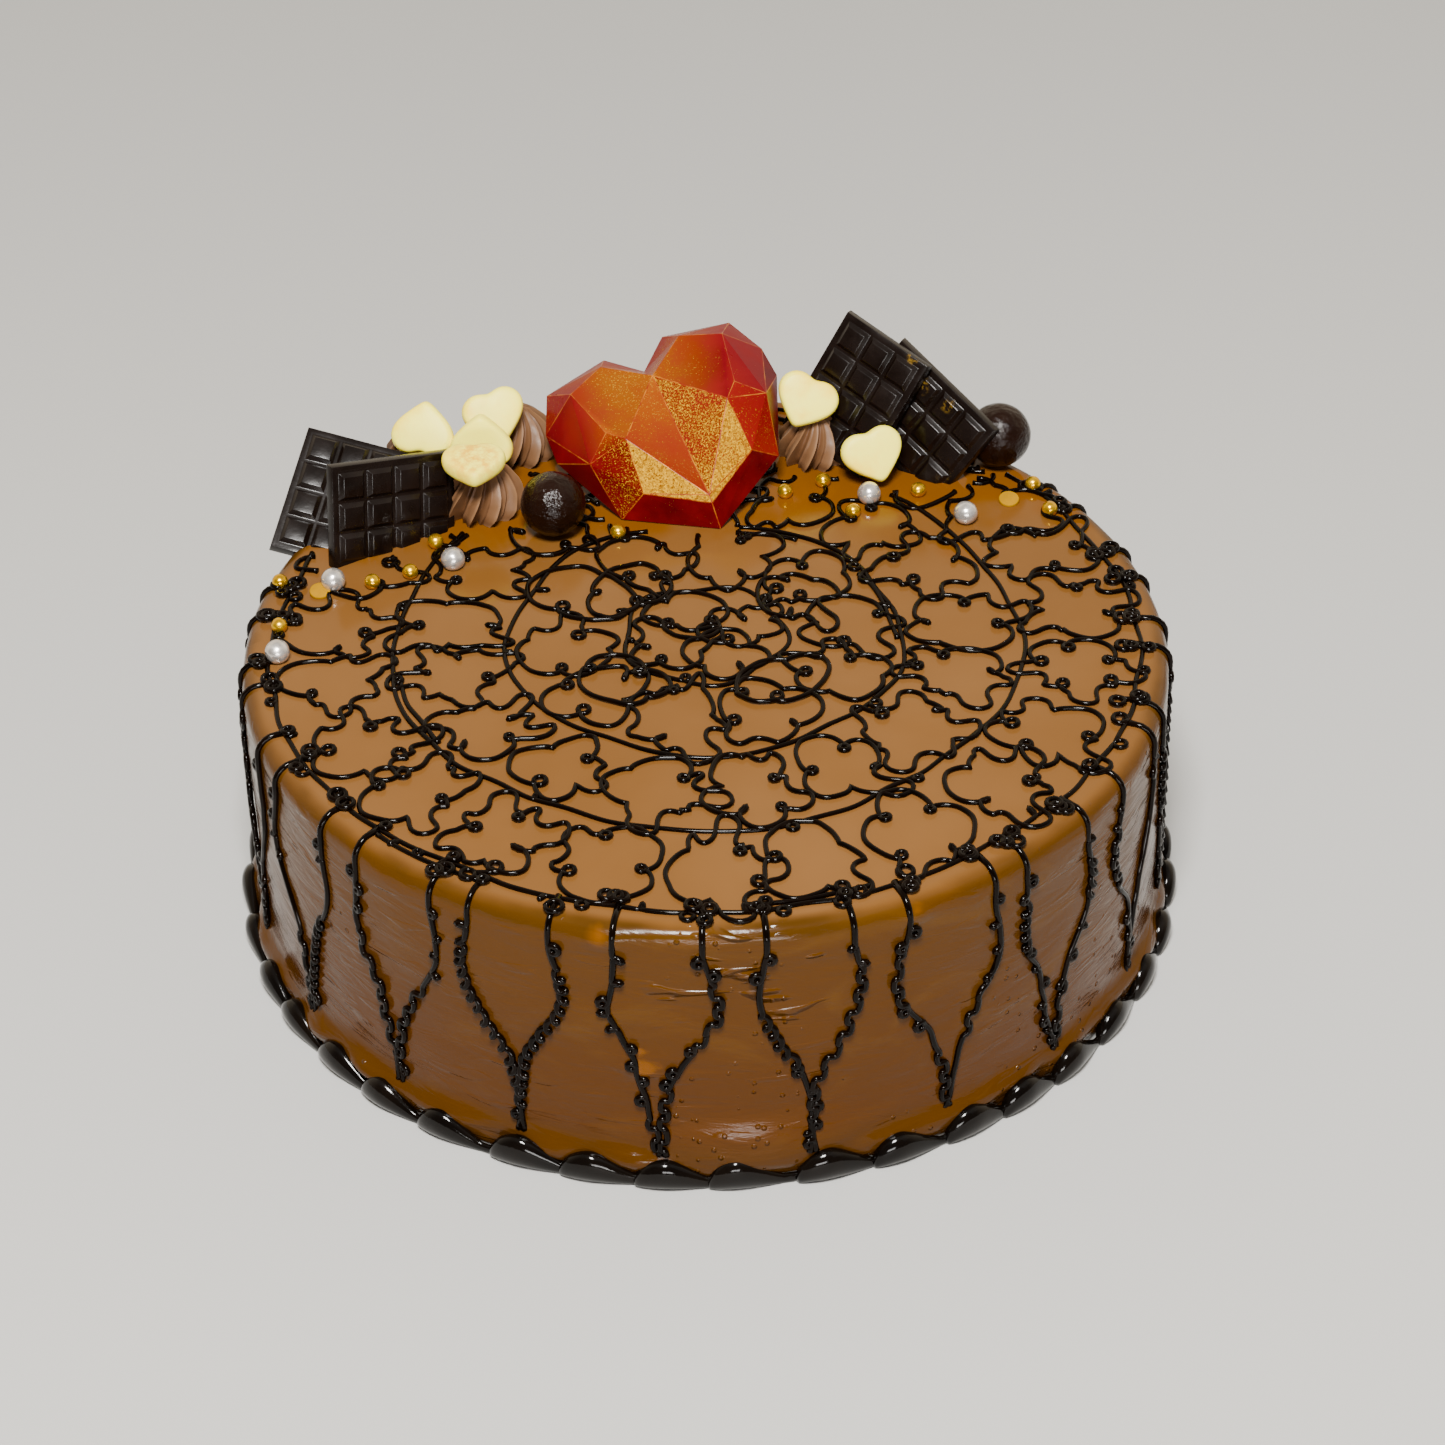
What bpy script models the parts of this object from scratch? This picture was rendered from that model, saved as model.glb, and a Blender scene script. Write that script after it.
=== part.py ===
"""Chocolate caramel cake: a round, uncut cake under poured caramel, with piped filigree,
a piped shell border and a crescent of chocolate toppings round a faceted heart.

Units are metres with +Z up. The origin is the centre of the base. -Y is the front.
Sizes below are in millimetres and are scaled by MM where they are used.
"""
import math
import random

import bmesh
import bpy
from mathutils import Matrix, Vector

MM = 0.001
GAP = 0.3                 # clearance between neighbouring pieces

# Cake body
CAKE_RADIUS = 112.2
CAKE_BASE_RADIUS = 112.6
CAKE_HEIGHT = 73.3
RIM_ROUNDING = 4.5
BODY_STEPS = 48
RIM_STEPS = 2

# Piped filigree: thickness and the way it is laid out on the top
LINE_RADIUS = 0.95
LINE_SINK = 0.35          # depth of an arc's middle under the surface
LINE_LAYERS = 5           # medallions that touch lie at different heights above that
LINE_LAYER = 0.05
ARC_RADII = (20.0, 48.0, 76.0, 105.0)
ARC_WAVE = 1.3
BANDS = (
    # radius, number of medallions, first angle (degrees), depth of a medallion, its width
    (90.3, 23, 177.0, 29.0, 25.5),
    (62.0, 17, 195.0, 28.5, 24.0),
    (34.0, 10, 188.0, 28.0, 22.5),
    (9.5, 4, 30.0, 22.0, 20.0),
)
CENTRE_BAND_RADIUS = 20.0     # medallions inside this aren't bent round the centre
POINTS_PER_LOBE = {3: 4, 4: 3, 5: 3}
ARC_STEP = 12.0           # distance between the points of an arc
ARC_WAVES = 5.0
OUTER_ARC_WAVE = 0.5      # the arc at the rim hardly waves
CUSP_DEPTH = (0.26, 0.48)     # how far the cusps reach in, as a share of the medallion's half size
LOBE_SHARE = (0.7, 1.3)       # how much of the turn each lobe takes, before they are made to add up
SIZE_SPREAD = (0.94, 1.05)
LOBE_ROUNDNESS = 0.8
LINE_ROOM = 0.8           # free space between a line and a topping
FILIGREE_SEED = 16

# Piped strands down the side
FEET = 21                 # places round the base where two strands meet
FIRST_FOOT_ANGLE = -5.5   # degrees from the front, positive to the right
TOP_PAIR_GAP = 6.5        # degrees between neighbouring strands at the rim
STRAND_RADIUS = 1.1
STRAND_SINK = 0.35
STRAND_STEPS = 5
STRAND_FOOT_HEIGHT = 9.4
STRAND_OVERRUN = 0.6      # a strand starts this far inside the arc at the rim
STRAND_SHOULDER = 2.0     # distance below the rim's rounding where a strand lies on the wall
STRAND_SWAY = 1.3         # degrees that a strand swings to the side
STRAND_JITTER = 1.0       # degrees that a strand's top is off its place
CLOSEST_PAIR = 0.8        # degrees left on each side of the middle where a pair runs closest
PINCH_END = 0.6           # share of the way down where a pair has parted again
FOOT_SPREAD = 0.35        # degrees between a foot and each of its strands

# Shell border round the base
SHELLS = 40
SHELL_WIDTH = 5.6
SHELL_HEIGHT = 8.8
SHELL_SECTION = ((0.0, 0.0), (0.74, 0.0), (1.0, 0.42), (0.60, 1.0), (0.0, 0.80))
SHELL_STATIONS = ((0.0, 0.60), (0.11, 0.95), (0.36, 1.0), (0.72, 0.74))   # place along a shell, fullness
SHELL_SEED = 5

# Sugar pearls and foil discs on the top: x, y and diameter
SILVER_PEARLS = ((-62.7, 31.2), (-91.9, 22.6), (-103.0, -7.7), (42.0, 58.6), (66.1, 49.0))
GOLD_PEARLS = (
    (-67.6, 40.6), (-73.2, 27.2), (-82.3, 23.0), (-105.2, 23.5), (-103.7, 4.6), (-21.8, 43.9),
    (20.7, 61.5), (30.5, 66.5), (37.7, 52.1), (54.7, 61.4), (84.2, 63.6), (87.6, 51.9),
)
GOLD_DISCS = ((-95.1, 20.4), (77.7, 57.8))
SILVER_DIAMETER = 6.0
GOLD_DIAMETER = 4.0
DISC_DIAMETER = 5.2
DISC_THICKNESS = 1.3
DISC_LIFT = 0.6           # height of a disc's middle over the top
DISC_TILT = 12.0
PEARL_SINK = 0.45

# Faceted heart: half of its outline and of its relief, x outwards, y up the heart, z out of it
HEART_OUTLINE = ((0.0, 52.0), (8.2, 59.8), (25.7, 56.2), (30.3, 45.1), (30.7, 35.9), (21.7, 13.4), (0.0, 0.0))
HEART_RELIEF = (
    (0.0, 43.1, 10.9), (10.9, 52.3, 9.4), (21.0, 47.3, 10.5), (17.6, 29.9, 15.0), (13.9, 25.3, 16.3),
    (24.3, 25.5, 11.0), (14.9, 13.1, 8.5), (0.0, 5.7, 8.4), (0.0, 4.1, 6.9),
)
HEART_TIP = (4.1, 46.3, 0.3)          # the tip rests on the top of the cake
HEART_TURN = (-10.7, 26.9, 31.5)      # yaw, lean back, roll in its own plane

# Chocolate bars: blocks across and up, yaw, lean, roll and the centre of the plate's front face
BLOCK_PITCH = 7.85
BLOCK_RISE = 1.2
BLOCK_SLOPE = 1.25        # how far a block's sides slope in
BAR_MARGIN = 1.7
BAR_THICKNESS = 2.4       # the plate without its blocks
BAR_DRAFT = 0.4           # how far the plate's front is smaller than its back, on each side
BARS = {
    "bar_left_front": (4, 3, (33.0, 74.7, -11.2), (-77.7, 43.4, 9.1)),
    "bar_left_back": (3, 4, (9.0, 33.6, -22.3), (-92.3, 52.9, 6.5)),
    "bar_right_front": (3, 4, (-28.6, 61.2, -18.7), (38.8, 81.0, 18.0)),
    "bar_right_back": (4, 3, (-28.8, 67.7, -28.8), (55.0, 76.2, 12.5)),
}

# Chocolate balls: x, y of the contact
BALL_DIAMETER = 16.5
BALLS = {"ball_left": (-38.0, 46.3), "ball_right": (76.1, 76.1)}

# Buttercream rosettes: x, y, radius, height, fins, first angle of the fins
ROSETTES = {
    "rosette_front": (-57.0, 57.8, 11.0, 15.0, 11, 0.0),
    "rosette_left": (-73.6, 73.2, 9.8, 14.3, 10, 12.0),
    "rosette_middle": (-48.6, 84.6, 10.8, 13.0, 11, 6.0),
    "rosette_right": (28.2, 80.5, 9.6, 13.5, 10, 20.0),
    "rosette_support": (-10.0, 84.0, 10.8, 15.6, 11, 4.0),
}
FIN_DEPTH = 0.34          # how deep the folds cut in, as a share of the radius
FIN_TWIST = 9.0           # degrees from one level to the next
ROSETTE_LEVELS = ((0.0, 0.80), (0.16, 1.0), (0.48, 0.95), (0.78, 0.66), (1.0, 0.30))   # height, reach
PRESSED_IN = {            # what is pushed into the soft rosettes
    "rosette_front": ("bar_left_front", "small_heart_6"),
    "rosette_left": ("small_heart_3",),
    "rosette_middle": ("small_heart_2",),
    "rosette_right": ("bar_right_front", "small_heart_4"),
}

# Small white hearts: centre (above the top of the cake), yaw, lean, roll
SMALL_HEART_WIDTH = 16.2
SMALL_HEART_THICKNESS = 4.5
SMALL_HEART_ROUNDING = 1.5
SMALL_HEART_POINTS = 16
HEART_POINT = 0.50        # 0 is an oval, 1 a heart with a sharp tip and a deep cleft
SMALL_HEARTS = {
    "small_heart_1": ((-57.6, 50.0, 18.4), (8.0, 5.0, -4.0)),
    "small_heart_2": ((-53.6, 76.4, 16.4), (8.0, 52.0, 14.0)),
    "small_heart_3": ((-71.5, 69.7, 16.1), (-6.0, 50.0, 176.0)),
    "small_heart_4": ((26.4, 78.4, 18.4), (4.0, 55.0, -28.0)),
    "small_heart_5": ((43.3, 67.2, 8.9), (10.0, 58.0, 14.0)),
    "small_heart_6": ((-56.6, 65.6, 14.8), (0.0, 75.0, 180.0)),
}

# Radius of the patch that a topping takes on the cake's top, which the piping keeps clear of
FOOT_RADIUS = {"ball": 4.6, "big heart": 2.6, "bar": 2.2, "small heart": 4.2}
LOW_SMALL_HEART = "small_heart_5"     # the one small heart that reaches down to the top

COLOURS = {
    "caramel": ((0.42, 0.19, 0.06), 0.14, 0.0),
    "dark_glaze": ((0.009, 0.005, 0.004), 0.12, 0.0),
    "dark_chocolate": ((0.016, 0.009, 0.008), 0.32, 0.0),
    "ball_chocolate": ((0.022, 0.010, 0.007), 0.22, 0.0),
    "red_gold": ((0.42, 0.035, 0.012), 0.30, 0.25),
    "white_chocolate": ((0.90, 0.80, 0.42), 0.55, 0.0),
    "buttercream": ((0.24, 0.105, 0.055), 0.60, 0.0),
}


def clear_scene():
    for obj in list(bpy.data.objects):
        bpy.data.objects.remove(obj, do_unlink=True)


def new_collection(name):
    collection = bpy.data.collections.new(name)
    bpy.context.scene.collection.children.link(collection)
    return collection


def new_material(name):
    colour, roughness, metallic = COLOURS[name]
    material = bpy.data.materials.new(name)
    material.use_nodes = True
    shader = material.node_tree.nodes["Principled BSDF"]
    shader.inputs["Base Color"].default_value = (*colour, 1.0)
    shader.inputs["Roughness"].default_value = roughness
    shader.inputs["Metallic"].default_value = metallic
    return material


def add_object(name, bm, collection, material=None):
    """Turn a bmesh in millimetres into an object in metres."""
    bmesh.ops.scale(bm, vec=(MM, MM, MM), verts=bm.verts)
    bmesh.ops.recalc_face_normals(bm, faces=bm.faces)
    mesh = bpy.data.meshes.new(name)
    bm.to_mesh(mesh)
    bm.free()
    obj = bpy.data.objects.new(name, mesh)
    collection.objects.link(obj)
    if material is not None:
        mesh.materials.append(material)
    return obj


def smooth(obj, degrees):
    obj.data.shade_smooth()
    obj.data.set_sharp_from_angle(angle=math.radians(degrees))


def turn_matrix(yaw, lean, roll):
    """Yaw about +Z, after a lean back about +X, after a roll in the piece's own plane."""
    return (
        Matrix.Rotation(math.radians(yaw), 4, "Z")
        @ Matrix.Rotation(math.radians(lean), 4, "X")
        @ Matrix.Rotation(math.radians(roll), 4, "Z")
    )


def place(obj, centre, turn):
    """Stand a piece at a centre given from the cake's top, turned by yaw, lean and roll."""
    obj.location = Vector((centre[0], centre[1], CAKE_HEIGHT + centre[2])) * MM
    obj.rotation_euler = turn_matrix(*turn).to_euler()


def evaluated_mesh(obj):
    depsgraph = bpy.context.evaluated_depsgraph_get()
    depsgraph.update()
    return bpy.data.meshes.new_from_object(obj.evaluated_get(depsgraph))


def apply_modifiers(obj):
    mesh = evaluated_mesh(obj)
    obj.modifiers.clear()
    old = obj.data
    obj.data = mesh
    bpy.data.meshes.remove(old)


def unite(body, operands):
    """Fuse all the objects of a collection into a body, then remove them."""
    union = body.modifiers.new("fuse", "BOOLEAN")
    union.operation = "UNION"
    union.operand_type = "COLLECTION"
    union.collection = operands
    union.solver = "MANIFOLD"
    apply_modifiers(body)
    for obj in list(operands.objects):
        bpy.data.objects.remove(obj, do_unlink=True)
    bpy.data.collections.remove(operands)


def keep_largest_shell(obj):
    """Fill what fusing sealed in and drop loose scraps, by keeping the outer body alone."""
    bm = bmesh.new()
    bm.from_mesh(obj.data)
    bmesh.ops.remove_doubles(bm, verts=bm.verts, dist=0.02 * MM)
    bmesh.ops.dissolve_limit(bm, angle_limit=math.radians(2.0), verts=bm.verts, edges=bm.edges)
    unseen = set(bm.verts)
    shells = []
    while unseen:
        stack = [unseen.pop()]
        shell = set(stack)
        while stack:
            for edge in stack.pop().link_edges:
                for vert in edge.verts:
                    if vert in unseen:
                        unseen.discard(vert)
                        shell.add(vert)
                        stack.append(vert)
        shells.append(shell)
    largest = max(shells, key=len)
    bmesh.ops.delete(bm, geom=[v for v in bm.verts if v not in largest], context="VERTS")
    bm.to_mesh(obj.data)
    bm.free()


# ---------------------------------------------------------------- cake body

def cake_profile():
    """From the rim's inner edge round the rim and down the side to the base."""
    centre_r = CAKE_RADIUS - RIM_ROUNDING
    centre_z = CAKE_HEIGHT - RIM_ROUNDING
    points = []
    for step in range(RIM_STEPS + 1):
        angle = math.radians(90.0 - 90.0 * step / RIM_STEPS)
        points.append((centre_r + RIM_ROUNDING * math.cos(angle), centre_z + RIM_ROUNDING * math.sin(angle)))
    points.append((CAKE_BASE_RADIUS, 0.0))
    return points


def turned(name, profile, steps, collection, material=None):
    """Turn a profile about +Z with a Screw and close its two ends with flat faces."""
    mesh = bpy.data.meshes.new(name)
    edges = [(index, index + 1) for index in range(len(profile) - 1)]
    mesh.from_pydata([(r * MM, 0.0, z * MM) for r, z in profile], edges, [])
    obj = bpy.data.objects.new(name, mesh)
    collection.objects.link(obj)
    screw = obj.modifiers.new("turn", "SCREW")
    screw.steps = steps
    screw.render_steps = steps
    screw.use_merge_vertices = True
    screw.merge_threshold = 0.00005
    apply_modifiers(obj)
    bm = bmesh.new()
    bm.from_mesh(obj.data)
    bmesh.ops.holes_fill(bm, edges=bm.edges, sides=0)
    bmesh.ops.recalc_face_normals(bm, faces=bm.faces)
    bm.to_mesh(obj.data)
    bm.free()
    if material is not None:
        obj.data.materials.append(material)
    return obj


def wall_radius(z):
    """Radius of the cake's surface at a height, rim rounding included."""
    above = z - (CAKE_HEIGHT - RIM_ROUNDING)
    if above <= 0.0:
        return CAKE_RADIUS + (CAKE_BASE_RADIUS - CAKE_RADIUS) * (1.0 - z / (CAKE_HEIGHT - RIM_ROUNDING))
    return CAKE_RADIUS - RIM_ROUNDING + math.sqrt(max(0.0, RIM_ROUNDING ** 2 - above ** 2))


# ---------------------------------------------------------------- piping

def tube(name, points, radius, collection, closed=False, twist="Z_UP"):
    """A piped line: a four-sided tube along points, welded into one closed mesh."""
    curve = bpy.data.curves.new(name, "CURVE")
    curve.dimensions = "3D"
    curve.twist_mode = twist
    curve.bevel_depth = radius * MM
    curve.bevel_resolution = 0
    curve.use_fill_caps = True
    spline = curve.splines.new("POLY")
    spline.points.add(len(points) - 1)
    for point, place_at in zip(spline.points, points):
        point.co = (place_at[0] * MM, place_at[1] * MM, place_at[2] * MM, 1.0)
    spline.use_cyclic_u = closed
    line = bpy.data.objects.new(name, curve)
    collection.objects.link(line)
    mesh = evaluated_mesh(line)
    bm = bmesh.new()
    bm.from_mesh(mesh)
    bmesh.ops.remove_doubles(bm, verts=bm.verts, dist=0.00001)
    bmesh.ops.recalc_face_normals(bm, faces=bm.faces)
    bm.to_mesh(mesh)
    bm.free()
    obj = bpy.data.objects.new(name, mesh)
    obj.matrix_world = line.matrix_world
    bpy.data.objects.remove(line, do_unlink=True)
    bpy.data.curves.remove(curve)
    collection.objects.link(obj)
    return obj


def keep_out_circles():
    """Places on the top where a topping stands, with the room that the piping leaves it."""
    room = LINE_RADIUS + LINE_ROOM
    circles = [(x, y, radius + room) for x, y, radius, *_ in ROSETTES.values()]
    circles += [(x, y, FOOT_RADIUS["ball"] + room) for x, y in BALLS.values()]
    tip = Vector((HEART_TIP[0], HEART_TIP[1], 0.0))
    turn = turn_matrix(*HEART_TURN)
    low_corner = Vector((-HEART_OUTLINE[5][0], HEART_OUTLINE[5][1], 0.0))
    edge = turn @ low_corner
    for step in range(9):
        spot = tip + edge * (step / 8.0)
        circles.append((spot.x, spot.y, FOOT_RADIUS["big heart"] + room))
    for across, up, angles, centre in BARS.values():
        turn = turn_matrix(*angles)
        half_w = across * BLOCK_PITCH / 2.0 + BAR_MARGIN
        half_h = up * BLOCK_PITCH / 2.0 + BAR_MARGIN
        for step in range(17):
            for depth in (0.0, -BAR_THICKNESS):
                low = turn @ Vector((half_w * (step / 8.0 - 1.0), -half_h, depth))
                high = turn @ Vector((half_w * (step / 8.0 - 1.0), half_h, depth))
                rise = high.z - low.z
                share = max(0.0, (-centre[2] - low.z) / rise)
                spot = low.lerp(high, min(share, 1.0))
                if centre[2] + spot.z < 2.0:
                    circles.append((centre[0] + spot.x, centre[1] + spot.y, FOOT_RADIUS["bar"] + room))
    centre, angles = SMALL_HEARTS[LOW_SMALL_HEART]
    low_edge = turn_matrix(*angles) @ Vector((0.0, -SMALL_HEART_WIDTH / 5.0, 0.0))
    circles.append((centre[0] + low_edge.x, centre[1] + low_edge.y, FOOT_RADIUS["small heart"] + room))
    return circles


def split_by(points, closed, circles):
    """Cut a line where it would run under a topping; returns (points, closed) pieces."""
    free = [all(math.hypot(p[0] - x, p[1] - y) > r for x, y, r in circles) for p in points]
    if all(free):
        return [(points, closed)]
    if closed:
        start = free.index(False)
        points = points[start:] + points[:start]
        free = free[start:] + free[:start]
    pieces = []
    run = []
    for point, is_free in zip(points, free):
        if is_free:
            run.append(point)
        elif run:
            pieces.append(run)
            run = []
    if run:
        pieces.append(run)
    return [(piece, False) for piece in pieces if len(piece) >= 3]


def filigree_lines():
    """Closed lines of the top: wavy arcs, and bands of lobed medallions between them."""
    rng = random.Random(FILIGREE_SEED)
    height = CAKE_HEIGHT - LINE_SINK
    lines = []
    for radius in ARC_RADII:
        steps = max(12, int(round(2.0 * math.pi * radius / ARC_STEP)))
        phase = rng.uniform(0.0, 6.28)
        wave = OUTER_ARC_WAVE if radius == ARC_RADII[-1] else ARC_WAVE
        ring = []
        for step in range(steps):
            angle = 2.0 * math.pi * step / steps
            r = radius + wave * math.sin(ARC_WAVES * angle + phase)
            ring.append((r * math.cos(angle), r * math.sin(angle), height))
        lines.append(ring)
    for radius, count, first, depth, width in BANDS:
        for index in range(count):
            angle = math.radians(first + 360.0 * index / count + rng.uniform(-2.0, 2.0))
            lobes = rng.choice((3, 4, 4, 5))
            level = height + LINE_LAYER * (1 + index % LINE_LAYERS)
            lines.append(medallion(radius, angle, depth, width, lobes, rng, level))
    return lines


def medallion(radius, angle, depth, width, lobes, rng, height):
    """A closed line of uneven lobes with cusps that point inwards, lying across its band."""
    first = rng.uniform(0.0, 2.0 * math.pi)
    shares = [rng.uniform(*LOBE_SHARE) for _ in range(lobes)]
    cusps = [rng.uniform(*CUSP_DEPTH) for _ in range(lobes)]
    depth = depth * rng.uniform(*SIZE_SPREAD)
    width = width * rng.uniform(*SIZE_SPREAD)
    points = []
    for lobe in range(lobes):
        span = 2.0 * math.pi * shares[lobe] / sum(shares)
        for step in range(POINTS_PER_LOBE[lobes]):
            u = step / POINTS_PER_LOBE[lobes]
            cusp = cusps[lobe] * (1.0 - u) + cusps[(lobe + 1) % lobes] * u
            reach = 1.0 - cusp * (1.0 - math.sin(math.pi * u) ** LOBE_ROUNDNESS)
            across = 0.5 * width * reach * math.sin(first + span * u)
            out = radius + 0.5 * depth * reach * math.cos(first + span * u)
            if radius > CENTRE_BAND_RADIUS:
                bearing = angle + across / radius
                points.append((out * math.cos(bearing), out * math.sin(bearing), height))
            else:
                x = out * math.cos(angle) - across * math.sin(angle)
                y = out * math.sin(angle) + across * math.cos(angle)
                points.append((x, y, height))
        first += span
    return points


def side_strands():
    """Pairs of strands that start apart at the rim and meet at a foot above the border."""
    rng = random.Random(FILIGREE_SEED + 1)
    pitch = 360.0 / FEET
    strands = []
    for foot in range(FEET):
        foot_angle = -90.0 + FIRST_FOOT_ANGLE + pitch * foot
        for side in (-1.0, 1.0):
            top_angle = foot_angle + side * 0.5 * (pitch - TOP_PAIR_GAP)
            top_angle += rng.uniform(-STRAND_JITTER, STRAND_JITTER)
            bottom_angle = foot_angle + side * FOOT_SPREAD
            sway = rng.uniform(-STRAND_SWAY, STRAND_SWAY)
            pinch = rng.uniform(0.2, 1.0) * (0.5 * TOP_PAIR_GAP - CLOSEST_PAIR) * side
            path = []
            first = math.radians(top_angle)
            arc_r = ARC_RADII[-1] - STRAND_OVERRUN
            start_z = CAKE_HEIGHT - STRAND_SINK - LINE_LAYER
            path.append((arc_r * math.cos(first), arc_r * math.sin(first), start_z))
            rim = RIM_ROUNDING * (1.0 - math.sqrt(0.5)) + STRAND_SINK * math.sqrt(0.5)
            r = CAKE_RADIUS - rim
            path.append((r * math.cos(first), r * math.sin(first), CAKE_HEIGHT - rim))
            top_z = CAKE_HEIGHT - RIM_ROUNDING - STRAND_SHOULDER
            for step in range(STRAND_STEPS + 1):
                share = step / STRAND_STEPS
                ease = share * share * (3.0 - 2.0 * share)
                swing = sway * math.sin(2.0 * math.pi * share)
                swing += pinch * math.sin(math.pi * min(1.0, share / PINCH_END)) ** 2
                bearing = math.radians(top_angle + (bottom_angle - top_angle) * ease + swing)
                z = top_z + (STRAND_FOOT_HEIGHT - top_z) * share
                r = wall_radius(z) - STRAND_SINK + side * LINE_LAYER
                path.append((r * math.cos(bearing), r * math.sin(bearing), z))
            strands.append(path)
    return strands


def pearl(name, x, y, diameter, collection):
    bm = bmesh.new()
    bmesh.ops.create_uvsphere(bm, u_segments=5, v_segments=4, radius=diameter / 2.0)
    bmesh.ops.translate(bm, verts=bm.verts, vec=(x, y, CAKE_HEIGHT + diameter / 2.0 - PEARL_SINK))
    return add_object(name, bm, collection)


def disc(name, x, y, collection):
    radius = DISC_DIAMETER / 2.0
    bm = bmesh.new()
    bmesh.ops.create_cone(
        bm, cap_ends=True, segments=8, radius1=radius, radius2=radius, depth=DISC_THICKNESS
    )
    bmesh.ops.rotate(bm, verts=bm.verts, matrix=Matrix.Rotation(math.radians(DISC_TILT), 3, "X"))
    bmesh.ops.translate(bm, verts=bm.verts, vec=(x, y, CAKE_HEIGHT + DISC_LIFT))
    return add_object(name, bm, collection)


def new_cutter(name, bm, centre, angles, collection):
    cutter = add_object("room_for_" + name, bm, collection)
    place(cutter, centre, angles)
    cutter.hide_render = True
    cutter.display_type = "WIRE"
    return cutter


def grown_heart(name, collection):
    """The room that a small heart takes in a rosette."""
    centre, angles = SMALL_HEARTS[name]
    bm = plump_heart(SMALL_HEART_WIDTH + 2.0 * GAP, SMALL_HEART_THICKNESS + 2.0 * GAP)
    return new_cutter(name, bm, centre, angles, collection)


def grown_bar(name, collection):
    """The room that a bar takes in what it is pushed into."""
    across, up, angles, centre = BARS[name]
    size_x = across * BLOCK_PITCH + 2.0 * (BAR_MARGIN + GAP)
    size_y = up * BLOCK_PITCH + 2.0 * (BAR_MARGIN + GAP)
    size_z = BLOCK_RISE + BAR_THICKNESS + 2.0 * GAP
    bm = bmesh.new()
    bmesh.ops.create_cube(bm, size=1.0)
    bmesh.ops.scale(bm, vec=(size_x, size_y, size_z), verts=bm.verts)
    bmesh.ops.translate(bm, vec=(0.0, 0.0, (BLOCK_RISE - BAR_THICKNESS) / 2.0), verts=bm.verts)
    return new_cutter(name, bm, centre, angles, collection)


def cut(body, cutters):
    for cutter in cutters:
        carve = body.modifiers.new("carve", "BOOLEAN")
        carve.operation = "DIFFERENCE"
        carve.object = cutter
        carve.solver = "EXACT"
    apply_modifiers(body)


def make_cake(parts, cutters, materials):
    cake = turned("cake", cake_profile(), BODY_STEPS, parts, materials["caramel"])
    cut(cake, [cutters[name] for name in BARS])
    toppings = new_collection("fused_toppings")
    circles = keep_out_circles()
    number = 0
    for line in filigree_lines():
        for points, closed in split_by(line, True, circles):
            number += 1
            tube(f"line_{number}", points, LINE_RADIUS, toppings, closed)
    for path in side_strands():
        for points, closed in split_by(path, False, circles):
            number += 1
            tube(f"line_{number}", points, STRAND_RADIUS, toppings, closed, "MINIMUM")
    for index, (x, y) in enumerate(SILVER_PEARLS):
        pearl(f"silver_{index}", x, y, SILVER_DIAMETER, toppings)
    for index, (x, y) in enumerate(GOLD_PEARLS):
        pearl(f"gold_{index}", x, y, GOLD_DIAMETER, toppings)
    for index, (x, y) in enumerate(GOLD_DISCS):
        disc(f"disc_{index}", x, y, toppings)
    unite(cake, toppings)
    keep_largest_shell(cake)
    smooth(cake, 40.0)
    return cake


# ---------------------------------------------------------------- border

def make_border(parts, materials):
    """A ring turned from one closed outline, then swollen and pinched into a row of shells."""
    rng = random.Random(SHELL_SEED)
    inner = CAKE_BASE_RADIUS + GAP
    count = len(SHELL_SECTION)
    stations = len(SHELL_STATIONS)
    mesh = bpy.data.meshes.new("border")
    section = [((inner + x * SHELL_WIDTH) * MM, 0.0, z * SHELL_HEIGHT * MM) for x, z in SHELL_SECTION]
    mesh.from_pydata(section, [(index, (index + 1) % count) for index in range(count)], [])
    border = bpy.data.objects.new("border", mesh)
    parts.objects.link(border)
    screw = border.modifiers.new("turn", "SCREW")
    screw.steps = SHELLS * stations
    screw.render_steps = screw.steps
    screw.use_merge_vertices = True
    screw.merge_threshold = 0.00005
    apply_modifiers(border)
    plump = [rng.uniform(0.93, 1.0) for _ in range(SHELLS)]
    pitch = 2.0 * math.pi / SHELLS
    bm = bmesh.new()
    bm.from_mesh(border.data)
    for vert in bm.verts:
        radius = math.hypot(vert.co.x, vert.co.y) / MM
        number = int(round(math.atan2(vert.co.y, vert.co.x) / pitch * stations)) % (SHELLS * stations)
        shell, station = divmod(number, stations)
        along, fullness = SHELL_STATIONS[station]
        bearing = pitch * (shell + along)
        radius = inner + (radius - inner) * fullness
        height = vert.co.z * fullness * plump[shell]
        vert.co = (radius * math.cos(bearing) * MM, radius * math.sin(bearing) * MM, height)
    bmesh.ops.recalc_face_normals(bm, faces=bm.faces)
    bm.to_mesh(border.data)
    bm.free()
    border.data.materials.append(materials["dark_glaze"])
    smooth(border, 50.0)
    return border


# ---------------------------------------------------------------- toppings

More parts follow.
